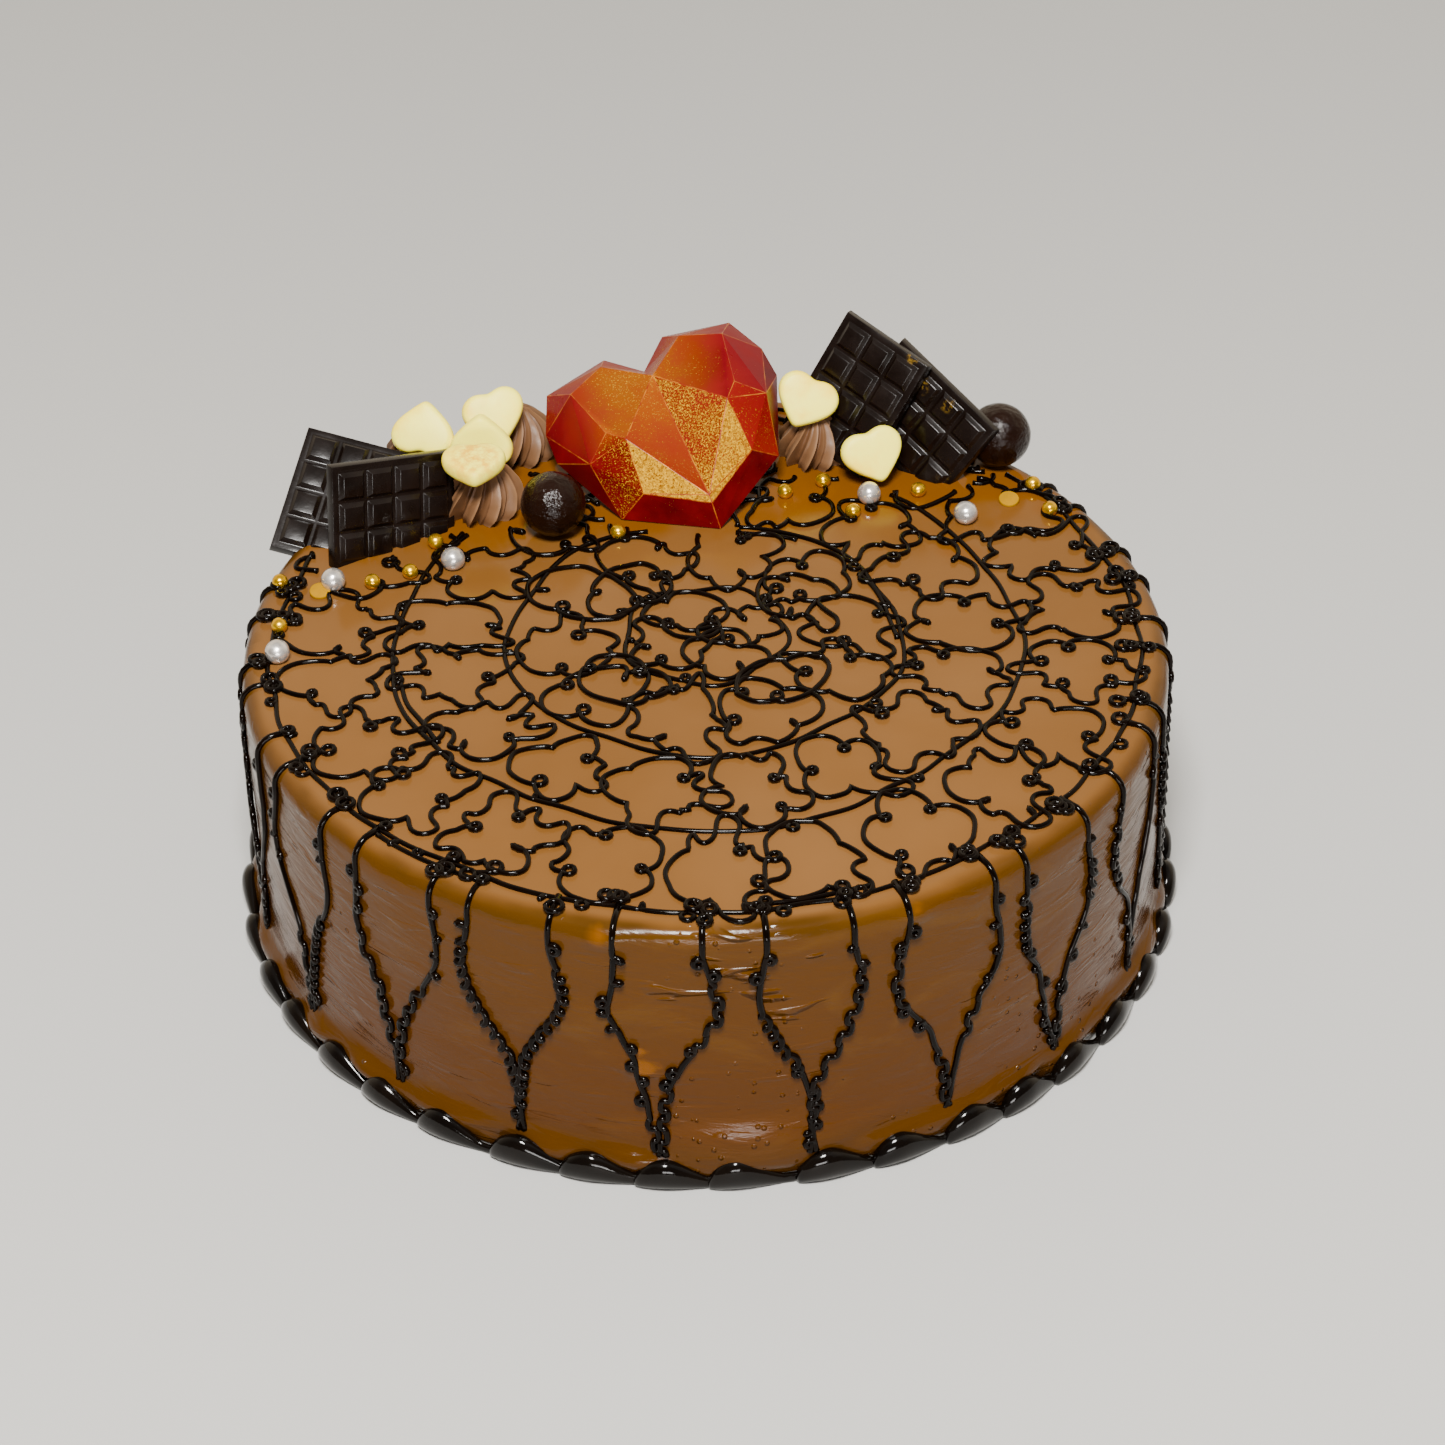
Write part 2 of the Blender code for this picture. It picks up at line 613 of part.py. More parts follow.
def make_big_heart(parts, materials):
    """Half of the heart is a hull of its facet corners; a mirror makes the other half."""
    bm = bmesh.new()
    for x, y in HEART_OUTLINE:
        bm.verts.new((x, y, 0.0))
    for corner in HEART_RELIEF:
        bm.verts.new(corner)
    bmesh.ops.convex_hull(bm, input=bm.verts)
    middle = [face for face in bm.faces if all(abs(vert.co.x) < 1e-6 for vert in face.verts)]
    bmesh.ops.delete(bm, geom=middle, context="FACES")
    bmesh.ops.dissolve_limit(bm, angle_limit=math.radians(1.0), verts=bm.verts, edges=bm.edges)
    heart = add_object("big_heart", bm, parts, materials["red_gold"])
    mirror = heart.modifiers.new("other half", "MIRROR")
    mirror.use_axis = (True, False, False)
    mirror.merge_threshold = 0.00001
    bevel = heart.modifiers.new("soft edges", "BEVEL")
    bevel.width = 0.25 * MM
    bevel.segments = 1
    bevel.limit_method = "ANGLE"
    bevel.angle_limit = math.radians(60.0)
    place(heart, HEART_TIP, HEART_TURN)
    return heart


def make_bar(name, parts, materials):
    """A mould-cast bar: rows of bevelled blocks on a plate with a plain margin."""
    across, up, angles, centre = BARS[name]
    width = across * BLOCK_PITCH
    height = up * BLOCK_PITCH
    bm = bmesh.new()
    bmesh.ops.create_grid(bm, x_segments=across, y_segments=up, size=0.5)
    bmesh.ops.scale(bm, vec=(width, height, 1.0), verts=bm.verts)
    outline = [edge for edge in bm.edges if edge.is_boundary]
    blocks = list(bm.faces)
    for reach, level in ((BAR_MARGIN - BAR_DRAFT, 0.0), (BAR_MARGIN, -BAR_THICKNESS)):
        grown = bmesh.ops.extrude_edge_only(bm, edges=outline)["geom"]
        for vert in [item for item in grown if isinstance(item, bmesh.types.BMVert)]:
            if abs(vert.co.x) > width / 2.0 - 0.01:
                vert.co.x = math.copysign(width / 2.0 + reach, vert.co.x)
            if abs(vert.co.y) > height / 2.0 - 0.01:
                vert.co.y = math.copysign(height / 2.0 + reach, vert.co.y)
            vert.co.z = level
        outline = [item for item in grown if isinstance(item, bmesh.types.BMEdge)]
    bmesh.ops.holes_fill(bm, edges=outline, sides=0)
    bmesh.ops.inset_individual(bm, faces=blocks, thickness=BLOCK_SLOPE, depth=BLOCK_RISE)
    bar = add_object(name, bm, parts, materials["dark_chocolate"])
    place(bar, centre, angles)
    return bar


def make_ball(name, parts, materials):
    x, y = BALLS[name]
    bm = bmesh.new()
    bmesh.ops.create_uvsphere(bm, u_segments=10, v_segments=7, radius=BALL_DIAMETER / 2.0)
    ball = add_object(name, bm, parts, materials["ball_chocolate"])
    place(ball, (x, y, BALL_DIAMETER / 2.0 + GAP), (0.0, 0.0, 0.0))
    smooth(ball, 60.0)
    return ball


def make_rosette(name, parts, cutters, materials):
    """A swirl from a petal nozzle: a star outline that rises, twists and closes at the top."""
    x, y, radius, height, fins, first = ROSETTES[name]
    bm = bmesh.new()
    made = bmesh.ops.create_circle(bm, cap_ends=True, segments=2 * fins, radius=radius * ROSETTE_LEVELS[0][1])
    for vert in made["verts"][::2]:
        vert.co *= 1.0 - FIN_DEPTH
    bmesh.ops.rotate(bm, verts=bm.verts, matrix=Matrix.Rotation(math.radians(first), 3, "Z"))
    outline = list(bm.edges)
    for (low, old), (share, reach) in zip(ROSETTE_LEVELS, ROSETTE_LEVELS[1:]):
        grown = bmesh.ops.extrude_edge_only(bm, edges=outline)["geom"]
        ring = [item for item in grown if isinstance(item, bmesh.types.BMVert)]
        outline = [item for item in grown if isinstance(item, bmesh.types.BMEdge)]
        bmesh.ops.scale(bm, vec=(reach / old, reach / old, 1.0), verts=ring)
        bmesh.ops.rotate(bm, verts=ring, matrix=Matrix.Rotation(math.radians(FIN_TWIST), 3, "Z"))
        bmesh.ops.translate(bm, vec=(0.0, 0.0, height * (share - low)), verts=ring)
    bmesh.ops.holes_fill(bm, edges=outline, sides=0)
    rosette = add_object(name, bm, parts, materials["buttercream"])
    place(rosette, (x, y, GAP), (0.0, 0.0, 0.0))
    if name in PRESSED_IN:
        cut(rosette, [cutters[piece] for piece in PRESSED_IN[name]])
        keep_largest_shell(rosette)
    smooth(rosette, 35.0)
    return rosette


def heart_outline(width, points):
    """Outline of a plump heart with a blunt tip and a shallow cleft."""
    outline = []
    for index in range(points):
        t = 2.0 * math.pi * index / points
        sharp_x = math.sin(t) ** 3
        sharp_y = 13.0 * math.cos(t) - 5.0 * math.cos(2.0 * t) - 2.0 * math.cos(3.0 * t) - math.cos(4.0 * t)
        x = HEART_POINT * sharp_x + (1.0 - HEART_POINT) * math.sin(t)
        y = HEART_POINT * (sharp_y / 16.0 + 0.15) + (1.0 - HEART_POINT) * 0.93 * math.cos(t)
        outline.append((0.5 * width * x, 0.5 * width * y))
    return outline


def plump_heart(width, thickness):
    """A heart with its widest outline half way up its thickness, as a bmesh."""
    flat = width - 2.0 * SMALL_HEART_ROUNDING
    bm = bmesh.new()
    outline = heart_outline(flat, SMALL_HEART_POINTS)
    back = bm.faces.new([bm.verts.new((x, y, -thickness / 2.0)) for x, y in outline])
    rim = list(back.edges)
    for grow in (width / flat, flat / width):
        grown = bmesh.ops.extrude_edge_only(bm, edges=rim)["geom"]
        ring = [item for item in grown if isinstance(item, bmesh.types.BMVert)]
        rim = [item for item in grown if isinstance(item, bmesh.types.BMEdge)]
        bmesh.ops.translate(bm, verts=ring, vec=(0.0, 0.0, thickness / 2.0))
        bmesh.ops.scale(bm, verts=ring, vec=(grow, grow, 1.0))
    bmesh.ops.holes_fill(bm, edges=rim, sides=0)
    return bm


def make_small_heart(name, parts, materials):
    centre, angles = SMALL_HEARTS[name]
    bm = plump_heart(SMALL_HEART_WIDTH, SMALL_HEART_THICKNESS)
    heart = add_object(name, bm, parts, materials["white_chocolate"])
    place(heart, centre, angles)
    smooth(heart, 50.0)
    return heart


def main():
    clear_scene()
    parts = new_collection("chocolate_caramel_cake")
    rooms = new_collection("cutters")
    materials = {name: new_material(name) for name in COLOURS}
    cutters = {name: grown_bar(name, rooms) for name in BARS}
    cutters.update({name: grown_heart(name, rooms) for name in SMALL_HEARTS})
    make_cake(parts, cutters, materials)
    make_border(parts, materials)
    make_big_heart(parts, materials)
    for name in BARS:
        make_bar(name, parts, materials)
    for name in ROSETTES:
        make_rosette(name, parts, cutters, materials)
    for name in SMALL_HEARTS:
        make_small_heart(name, parts, materials)
    for name in BALLS:
        make_ball(name, parts, materials)


main()
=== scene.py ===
import random
from math import asin, atan2, copysign, cos, degrees, exp, hypot, pi, radians, sin, sqrt

import bpy
from mathutils import Matrix, Vector, noise


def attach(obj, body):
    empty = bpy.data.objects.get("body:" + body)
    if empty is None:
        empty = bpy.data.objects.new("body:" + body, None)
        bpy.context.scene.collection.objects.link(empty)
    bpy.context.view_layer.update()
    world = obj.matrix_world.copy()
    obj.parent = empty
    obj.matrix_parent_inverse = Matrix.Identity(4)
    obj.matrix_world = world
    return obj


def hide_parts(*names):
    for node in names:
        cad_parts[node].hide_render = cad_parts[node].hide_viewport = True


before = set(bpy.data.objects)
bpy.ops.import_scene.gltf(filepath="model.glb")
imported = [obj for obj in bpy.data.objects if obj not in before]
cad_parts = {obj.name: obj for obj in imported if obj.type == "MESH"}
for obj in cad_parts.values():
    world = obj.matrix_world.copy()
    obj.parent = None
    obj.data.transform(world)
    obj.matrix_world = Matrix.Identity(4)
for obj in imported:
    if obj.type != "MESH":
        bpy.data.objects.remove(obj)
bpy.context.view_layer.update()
mm = 0.001
upward = Vector((0, 0, 1))


# The cake's sizes come first, because every piece is placed by them
cake = {
    "radius": 112.2, "baseRadius": 112.6, "height": 73.3, "rim": 4.5, "around": 288, "sideRows": 48,
    "rowBias": 1.4, "rimRows": 8, "topRings": 26, "unevenTop": 0.28, "unevenSide": 0.42, "fadeBelowTop": 6,
    "poolRise": 7.0, "poolFoot": 6.0, "poolReach": 3.0, "poolHigh": 2.6, "lumpHigh": 2.2,
}
wallTop = cake["height"] - cake["rim"]
flatRadius = cake["radius"] - cake["rim"]
cakeLumps = (   # bearing, height, width in degrees, how proud
    (-102, 69.5, 2.6, 1.0), (-65.7, 69.5, 1.8, 1.1), (-80, 66, 5, 0.35), (-130, 68, 4, 0.5),
    (-40, 67, 3, 0.6), (-98, 33, 1.4, 0.8), (-87, 14.5, 5.5, 0.9), (20, 68, 4, 0.7), (120, 67, 4, 0.6),
    (170, 68, 3, 0.6),
)
# Glaze gathered above the shells, near the front
flare = {"bearing": -85, "wide": 11.0, "rise": 8.0, "high": 6.6, "proud": 3.6}


def polar(reach, bearing, z=0.0):
    return Vector((reach * cos(bearing), reach * sin(bearing), z))


def onTop(x, y, z):   # z counts from the cake's flat top
    return Vector((x, y, cake["height"] + z))


def unevenAt(x, y, z=0.0):
    return noise.noise(Vector((x, y, z)))


def degreesFrom(bearing, other):
    return (degrees(bearing) - other + 180) % 360 - 180


def turned(yaw, lean, roll):
    return (Matrix.Rotation(radians(yaw), 4, "Z") @ Matrix.Rotation(radians(lean), 4, "X")
            @ Matrix.Rotation(radians(roll), 4, "Z"))


def selectOnly(*pieces):
    bpy.ops.object.select_all(action="DESELECT")
    for piece in pieces:
        piece.select_set(True)
    bpy.context.view_layer.objects.active = pieces[0]


def setMode(mode):
    bpy.ops.object.mode_set(mode=mode)


def editAll(piece):
    selectOnly(piece)
    setMode("EDIT")
    bpy.ops.mesh.select_all(action="SELECT")


def nameNew(name):
    made = bpy.context.object
    made.name = name
    return made


def addObject(name, data):
    made = bpy.data.objects.new(name, data)
    bpy.context.collection.objects.link(made)
    return made


def filledCircle(name, corners, radius):   # left in edit mode, ready to be extruded
    bpy.ops.mesh.primitive_circle_add(vertices=corners, radius=radius, fill_type="NGON")
    circle = nameNew(name)
    editAll(circle)
    bpy.ops.mesh.select_mode(type="FACE")
    return circle


def raiseFaces(height):
    bpy.ops.mesh.extrude_region_move(TRANSFORM_OT_translate={"value": (0, 0, height * mm)})


def selectFaces(piece, wanted):
    setMode("OBJECT")
    for part in (piece.data.vertices, piece.data.edges, piece.data.polygons):
        part.foreach_set("select", [False] * len(part))
    for face in piece.data.polygons:
        face.select = wanted(face)
    setMode("EDIT")
    bpy.ops.mesh.select_mode(type="FACE")


def faceOutward(piece):
    editAll(piece)
    bpy.ops.mesh.normals_make_consistent(inside=False)
    setMode("OBJECT")


def addModifier(piece, kind, **settings):
    selectOnly(piece)
    bpy.ops.object.modifier_add(type=kind)
    modifier = piece.modifiers[-1]
    for name, value in settings.items():
        setattr(modifier, name, value)
    bpy.ops.object.modifier_apply(modifier=modifier.name)


def settle(piece):
    selectOnly(piece)
    bpy.ops.object.transform_apply(location=True, rotation=True, scale=True)
    faceOutward(piece)


def standAt(piece, centre, angles=(0, 0, 0)):
    piece.matrix_world = Matrix.Translation(onTop(*centre) * mm) @ turned(*angles)
    settle(piece)


def joinPieces(pieces, name):
    selectOnly(*pieces)
    bpy.ops.object.join()
    whole = nameNew(name)
    whole.data.name = name
    settle(whole)
    return whole


def handOver(piece, slotName, *nodes):
    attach(piece, "root")
    if nodes:
        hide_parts(*nodes)


def finishPiece(piece, material, slotName, *nodes, angle=None):   # edges sharper than the angle stay sharp
    selectOnly(piece)
    if angle:
        bpy.ops.object.shade_smooth_by_angle(angle=radians(angle))
    else:
        bpy.ops.object.shade_smooth()
    piece.data.materials.append(material)
    handOver(piece, slotName, *nodes)


# A material is built on the bench, and every pattern reads Object coordinates or an attribute of the piece
bench = {}


def plug(socket, value):
    if isinstance(value, bpy.types.NodeSocket):
        bench["tree"].links.new(value, socket)
    else:
        socket.default_value = value


def feed(name, value):
    plug(bench["shader"].inputs[name], value)


def addNode(kind, inputs=None, **settings):
    made = bench["tree"].nodes.new("ShaderNode" + kind)
    for name, value in settings.items():
        setattr(made, name, value)
    for socket, value in (inputs or {}).items():
        plug(made.inputs[socket], value)
    return made


def newMaterial(name, **sockets):
    material = bpy.data.materials.new(name)
    material.use_nodes = True
    bench["tree"] = material.node_tree
    bench["shader"] = material.node_tree.nodes["Principled BSDF"]
    bench["place"] = addNode("TexCoord").outputs["Object"]
    for socket, value in sockets.items():
        feed(socket.replace("_", " "), value)
    return material


def addNoise(scale, detail=3.0, roughness=0.5, distortion=0.0, place=None):
    inputs = {"Vector": bench["place"] if place is None else place, "Scale": scale, "Detail": detail,
              "Roughness": roughness, "Distortion": distortion}
    return addNode("TexNoise", inputs).outputs["Fac"]


def remap(value, low, high, toLow=0.0, toHigh=1.0, kind="LINEAR"):
    inputs = {"Value": value, "From Min": low, "From Max": high, "To Min": toLow, "To Max": toHigh}
    return addNode("MapRange", inputs, interpolation_type=kind).outputs["Result"]


def ease(value, low, high, toLow=0.0, toHigh=1.0):
    return remap(value, low, high, toLow, toHigh, "SMOOTHSTEP")


def fade(value, low, high, start=1.0):
    return ease(value, low, high, start, 0.0)


def mixColour(share, first, second):
    colours = [(*colour, 1) if isinstance(colour, tuple) else colour for colour in (first, second)]
    return addNode("Mix", {0: share, 6: colours[0], 7: colours[1]}, data_type="RGBA").outputs[2]


def calculate(operation, first, second=0.0):
    return addNode("Math", {0: first, 1: second}, operation=operation).outputs["Value"]


def times(first, *others):
    for other in others:
        first = calculate("MULTIPLY", first, other)
    return first


def plus(first, *others):
    for other in others:
        first = calculate("ADD", first, other)
    return first


def combine(x, y, z):
    return addNode("CombineXYZ", {"X": x, "Y": y, "Z": z}).outputs[0]


def farFrom(spot):
    inputs = {0: bench["place"], 1: Vector(spot) * mm}
    return addNode("VectorMath", inputs, operation="DISTANCE").outputs["Value"]


def readAttribute(name):
    return addNode("Attribute", attribute_name=name).outputs


def addBump(height, distance, strength):
    feed("Normal", addNode("Bump", {"Height": height, "Distance": distance, "Strength": strength}).outputs[0])


# Glaze colours: amber is painted shade and painted reflection near the toppings, the side colours are painted
# darker than the top as painted shade, and the stain colour is partly a painted highlight
caramelLook = {
    "top": (0.151, 0.066, 0.0180), "topDark": (0.128, 0.052, 0.0105), "rim": (0.050, 0.0195, 0.0014),
    "shadedSideHigh": (0.062, 0.0216, 0.0006), "shadedSideLow": (0.057, 0.0175, 0.0003), "smear": (0.080, 0.0320, 0.0024),
    "amber": (0.132, 0.042, 0.0006), "lip": (0.050, 0.017, 0.0005), "stainAndGlint": (0.145, 0.046, 0.0016),
    "footHigh": 0.015, "unroll": 0.112, "roughTop": 0.12, "roughSide": 0.14, "creaseAt": (7, -112, 61),
}
# The two spots at the rim (z 71) are a painted orange highlight, the others lighter drips
caramelStainsAndGlints = (   # place, size
    ((-15.6, -111.3, 34), 2.6), ((-16.2, -111.3, 38.5), 1.8), ((-23.4, -109.9, 71), 4.6),
    ((46.3, -102.4, 71), 3.6), ((-12, -111.6, 50), 2.0),
)


def makeCaramel():
    look = caramelLook
    material = newMaterial("caramelGlaze", IOR=1.42, Specular_IOR_Level=0.21)
    x, y, z = addNode("SeparateXYZ", {"Vector": bench["place"]}).outputs
    reach = calculate("SQRT", plus(times(x, x), times(y, y)))
    along = times(calculate("ARCTAN2", y, x), look["unroll"])
    unrolled = combine(along, times(z, 1.9), reach)
    slanted = combine(plus(along, times(z, 0.8)), times(z, 4.0), 0.0)
    onSide = ease(reach, 0.1085, 0.1118)
    # The top is cloudy, and towards the back, near the toppings, it turns amber: painted shade and a painted
    # dark reflection of the toppings
    topTint = mixColour(remap(addNoise(14, 4, 0.55, 0.4), 0.35, 0.68), look["topDark"], look["top"])
    toppingShadeReach = plus(y, remap(addNoise(34), 0.3, 0.7, -0.022, 0.022))
    topTint = mixColour(ease(toppingShadeReach, 0.036, 0.062), topTint, look["amber"])
    # The side is painted darker than the top as painted shade, darker still towards the bottom, with smears
    # and patches
    streak = addNoise(26, 5, 0.62, 1.2, unrolled)
    shadedSideTint = mixColour(remap(z, 0.014, 0.062), look["shadedSideLow"], look["shadedSideHigh"])
    shadedSideTint = mixColour(ease(streak, 0.52, 0.74, 0.0, 0.6), shadedSideTint, look["smear"])
    patches = times(ease(addNoise(13, place=slanted), 0.44, 0.60), fade(z, 0.020, 0.046), 0.8)
    shadedSideTint = mixColour(patches, shadedSideTint, look["shadedSideLow"])
    tint = mixColour(onSide, topTint, shadedSideTint)
    # The rim and the foot are mixed towards their listed colours; the stains are lighter drips, and the two
    # at the rim a painted orange highlight
    onRim = times(ease(reach, 0.1070, 0.1100), ease(z, 0.0685, 0.0705))
    rimWave = remap(addNoise(30, place=unrolled), 0.38, 0.60, 0.1, 1.0)
    tint = mixColour(times(onRim, rimWave), tint, look["rim"])
    tint = mixColour(times(fade(z, 0.009, look["footHigh"]), onSide), tint, look["lip"])
    # Lighter drips, and at the rim a painted orange highlight
    for spot, size in caramelStainsAndGlints:
        far = plus(farFrom(spot), remap(streak, 0.3, 0.7, -0.003, 0.003))
        tint = mixColour(fade(far, size * mm * 0.2, size * mm, 0.7), tint, look["stainAndGlint"])
    feed("Base Color", tint)
    rough = remap(onSide, 0.0, 1.0, look["roughTop"], look["roughSide"])
    feed("Roughness", times(rough, remap(addNoise(60), 0.3, 0.7, 0.7, 1.6)))
    # The relief has clusters of bubbles, slanted drags, one creased place and a fine waviness
    bubbles = addNode("TexVoronoi", {"Vector": bench["place"], "Scale": 300.0}).outputs["Distance"]
    cluster = times(remap(addNoise(30, 2), 0.54, 0.64), onSide)
    drag = times(addNoise(42, 4, 0.55, 1.6, slanted), onSide)
    crease = ease(addNoise(62, 1, 0.4, 0.6, combine(along, times(z, 4.2), 0.3)), 0.60, 0.70)
    creased = ease(farFrom(look["creaseAt"]), 0.010, 0.026, 1.0, 0.06)
    relief = plus(times(fade(bubbles, 0.10, 0.22), cluster, 2.2), times(drag, 0.9),
                  times(crease, creased, onSide, 4.0), times(addNoise(45, 2), 0.10))
    addBump(relief, 0.0007, 0.6)
    return material


def makeGloss(name, dark, light, roughness, grain, depth, shine):
    material = newMaterial(name, Specular_IOR_Level=shine)
    feed("Base Color", mixColour(remap(addNoise(grain, 4), 0.35, 0.7), dark, light))
    feed("Roughness", remap(addNoise(grain * 1.7), 0.3, 0.7, roughness * 0.75, roughness * 1.35))
    addBump(addNoise(grain * 2.6, 4, 0.6), depth, 0.6)
    return material


def makeShine(name, dark, light, metallic):
    material = newMaterial(name, Metallic=metallic)
    cloud = addNoise(500)
    feed("Base Color", mixColour(remap(cloud, 0.35, 0.65), dark, light))
    feed("Roughness", remap(cloud, 0.3, 0.7, 0.18, 0.336))
    addBump(cloud, 0.0002, 0.4)
    return material


def makeHeartGloss():
    material = newMaterial("redGoldChocolate", Specular_IOR_Level=0.05)
    facet = readAttribute("facetTint")
    cloud = addNoise(85, 4, 0.6)
    level = plus(facet["Alpha"], remap(cloud, 0.3, 0.7, 0.10, -0.12))
    gold = ease(plus(addNoise(2300, 2, 0.7), times(level, 0.50)), 0.70, 0.84)
    flakes = addNode("TexVoronoi", {"Vector": bench["place"], "Scale": 2600.0}).outputs["Color"]
    spark = addNode("RGBToBW", {"Color": flakes}).outputs[0]
    tint = mixColour(remap(cloud, 0.38, 0.72, 0.0, 0.55), facet["Color"], (0.18, 0.004, 0.006))
    goldTint = mixColour(spark, (0.12, 0.024, 0.0003), (0.66, 0.34, 0.001))
    feed("Base Color", mixColour(gold, tint, goldTint))
    feed("Metallic", times(gold, 0.12))
    feed("Roughness", remap(cloud, 0.3, 0.7, 0.24, 0.38))
    addBump(plus(times(spark, gold), times(cloud, 0.6)), 0.00016, 0.7)
    return material


def makeGoldRubAndEdgeHighlight():
    material = newMaterial("goldRubAndEdgeHighlight", Roughness=0.35, Specular_IOR_Level=0.22)
    # Rubbed gold on the facet edges, partly a painted highlight along them
    rubAndHighlight = remap(addNoise(240, 4, 0.6), 0.42, 0.66)
    feed("Base Color", mixColour(rubAndHighlight, (0.17, 0.009, 0.001), (0.44, 0.14, 0.005)))
    feed("Metallic", times(rubAndHighlight, 0.2))
    return material


def makeButtercream():
    material = newMaterial("buttercream", Specular_IOR_Level=0.25)
    fin = readAttribute("fin")["Fac"]
    # Folds get a darker colour as painted shade, and the fin crests a lighter one as a painted highlight
    deep = mixColour(addNoise(300), (0.112, 0.053, 0.022), (0.142, 0.068, 0.030))
    tint = mixColour(remap(fin, 0.0, 0.75), (0.088, 0.037, 0.014), deep)
    feed("Base Color", mixColour(remap(fin, 0.84, 1.0), tint, (0.185, 0.093, 0.042)))
    feed("Roughness", remap(addNoise(500), 0.3, 0.7, 0.38, 0.58))
    streaks = addNode("Mapping", {"Vector": bench["place"], "Scale": (1.0, 1.0, 0.25)}).outputs["Vector"]
    addBump(addNoise(620, 4, 0.6, place=streaks), 0.00014, 0.5)
    return material


caramel = makeCaramel()
darkPiping = makeGloss("darkPiping", (0.0012, 0.0005, 0.0002), (0.0030, 0.0011, 0.0003), 0.11, 160,
                       0.00003, 0.11)
shellGlaze = makeGloss("shellGlaze", (0.0016, 0.0010, 0.0007), (0.0034, 0.0020, 0.0012), 0.09, 90,
                       0.00012, 0.22)
ballChocolate = makeGloss("ballChocolate", (0.0058, 0.0017, 0.0007), (0.0090, 0.0028, 0.0010), 0.13, 150,
                          0.0013, 0.20)
heartGloss = makeHeartGloss()
goldRubAndEdgeHighlight = makeGoldRubAndEdgeHighlight()
buttercream = makeButtercream()
silverShine = makeShine("pearlShine", (0.58, 0.53, 0.48), (0.80, 0.75, 0.70), 0.80)
goldShine = makeShine("goldShine", (0.64, 0.33, 0.002), (0.84, 0.49, 0.006), 0.90)
foilGold = makeGloss("foilGold", (0.27, 0.132, 0.0001), (0.33, 0.160, 0.0002), 0.6, 300, 0.0001, 0.0)
print("first materials ready")


def flareAt(bearing, z):
    off = degreesFrom(bearing, flare["bearing"])
    above = max(0.0, z - flare["rise"])
    return flare["proud"] * exp(-(off / flare["wide"]) ** 2 - (above / flare["high"]) ** 2)


def wallRadius(z):
    return cake["radius"] + (cake["baseRadius"] - cake["radius"]) * (1 - z / wallTop)


# Cake: a circle extruded up the side and over the rim, its top inset into rings
def makeCake():
    body = filledCircle("caramelCake", cake["around"], cake["baseRadius"] * mm)
    for row in range(cake["sideRows"]):
        raiseFaces(wallTop / cake["sideRows"])
    for row in range(cake["rimRows"]):
        raiseFaces(cake["rim"] / cake["rimRows"])
    for ring in range(cake["topRings"]):
        bpy.ops.mesh.inset(thickness=flatRadius * mm / (cake["topRings"] + 0.5), depth=0)
    setMode("OBJECT")
    for vert in body.data.vertices:
        x, y, z = vert.co / mm
        bearing = atan2(y, x)
        reach = hypot(x, y)
        if z > cake["height"] - 0.01 and reach < cake["baseRadius"] - 0.5:   # rings of the top
            share = reach / cake["baseRadius"]
            lift = cake["unevenTop"] * unevenAt(x * 0.035, y * 0.035) * (1 - share ** 6)
            vert.co = polar(share * (flatRadius + 0.4), bearing, z + lift) * mm
            continue
        if z > wallTop + 0.01:   # rim, spaced by its angle
            turn = (z - wallTop) / cake["rim"] * pi / 2
            z = wallTop + cake["rim"] * sin(turn)
            reach = flatRadius + cake["rim"] * cos(turn)
        else:
            z = wallTop * (z / wallTop) ** cake["rowBias"]
            reach = wallRadius(z)
        around = polar(3.1, bearing, z * 0.045)
        smear = noise.noise(around) + 0.5 * unevenAt(around.x * 3, around.y * 3, z * 0.14)
        reach += cake["unevenSide"] * smear * min(1, (cake["height"] - z) / cake["fadeBelowTop"])
        pool = exp(-(max(0, z - cake["poolRise"]) / cake["poolHigh"]) ** 2)
        gathered = max(cake["poolReach"] * pool * (0.75 + 0.7 * noise.noise(around * 3)), flareAt(bearing, z))
        reach += gathered * min(1, z / cake["poolFoot"]) ** 0.7
        for lump, high, wide, proud in cakeLumps:
            off = degreesFrom(bearing, lump) / wide
            reach += proud * exp(-off ** 2 - ((z - high) / cake["lumpHigh"]) ** 2)
        vert.co = polar(reach, bearing, max(0, z)) * mm
    settle(body)
    finishPiece(body, caramel, "caramel", "cake")


makeCake()
print("cake body ready")


shells = {
    "count": 40, "width": 5.6, "height": 8.8, "gap": 0.3, "seed": 5, "detailSeed": 31, "length": 1.27,
    "head": 0.33, "tail": 0.30, "neck": 0.72, "tip": 0.86, "around": 20, "rows": 26,
}


def shellFullness(s):   # how full it is, from the head at 0 to the tail at 1
    if s < shells["head"]:
        return sqrt(max(0.0, 1 - (1 - s / shells["head"]) ** 2))
    t = (s - shells["head"]) / (1 - shells["head"])
    neck = min(1, t / shells["neck"])
    taper = 1 - (1 - shells["tail"]) * neck ** 1.6 * (2.6 - 1.6 * neck) ** 0.5
    return taper * sqrt(max(0.0, 1 - max(0.0, (t - shells["tip"]) / (1 - shells["tip"])) ** 2))


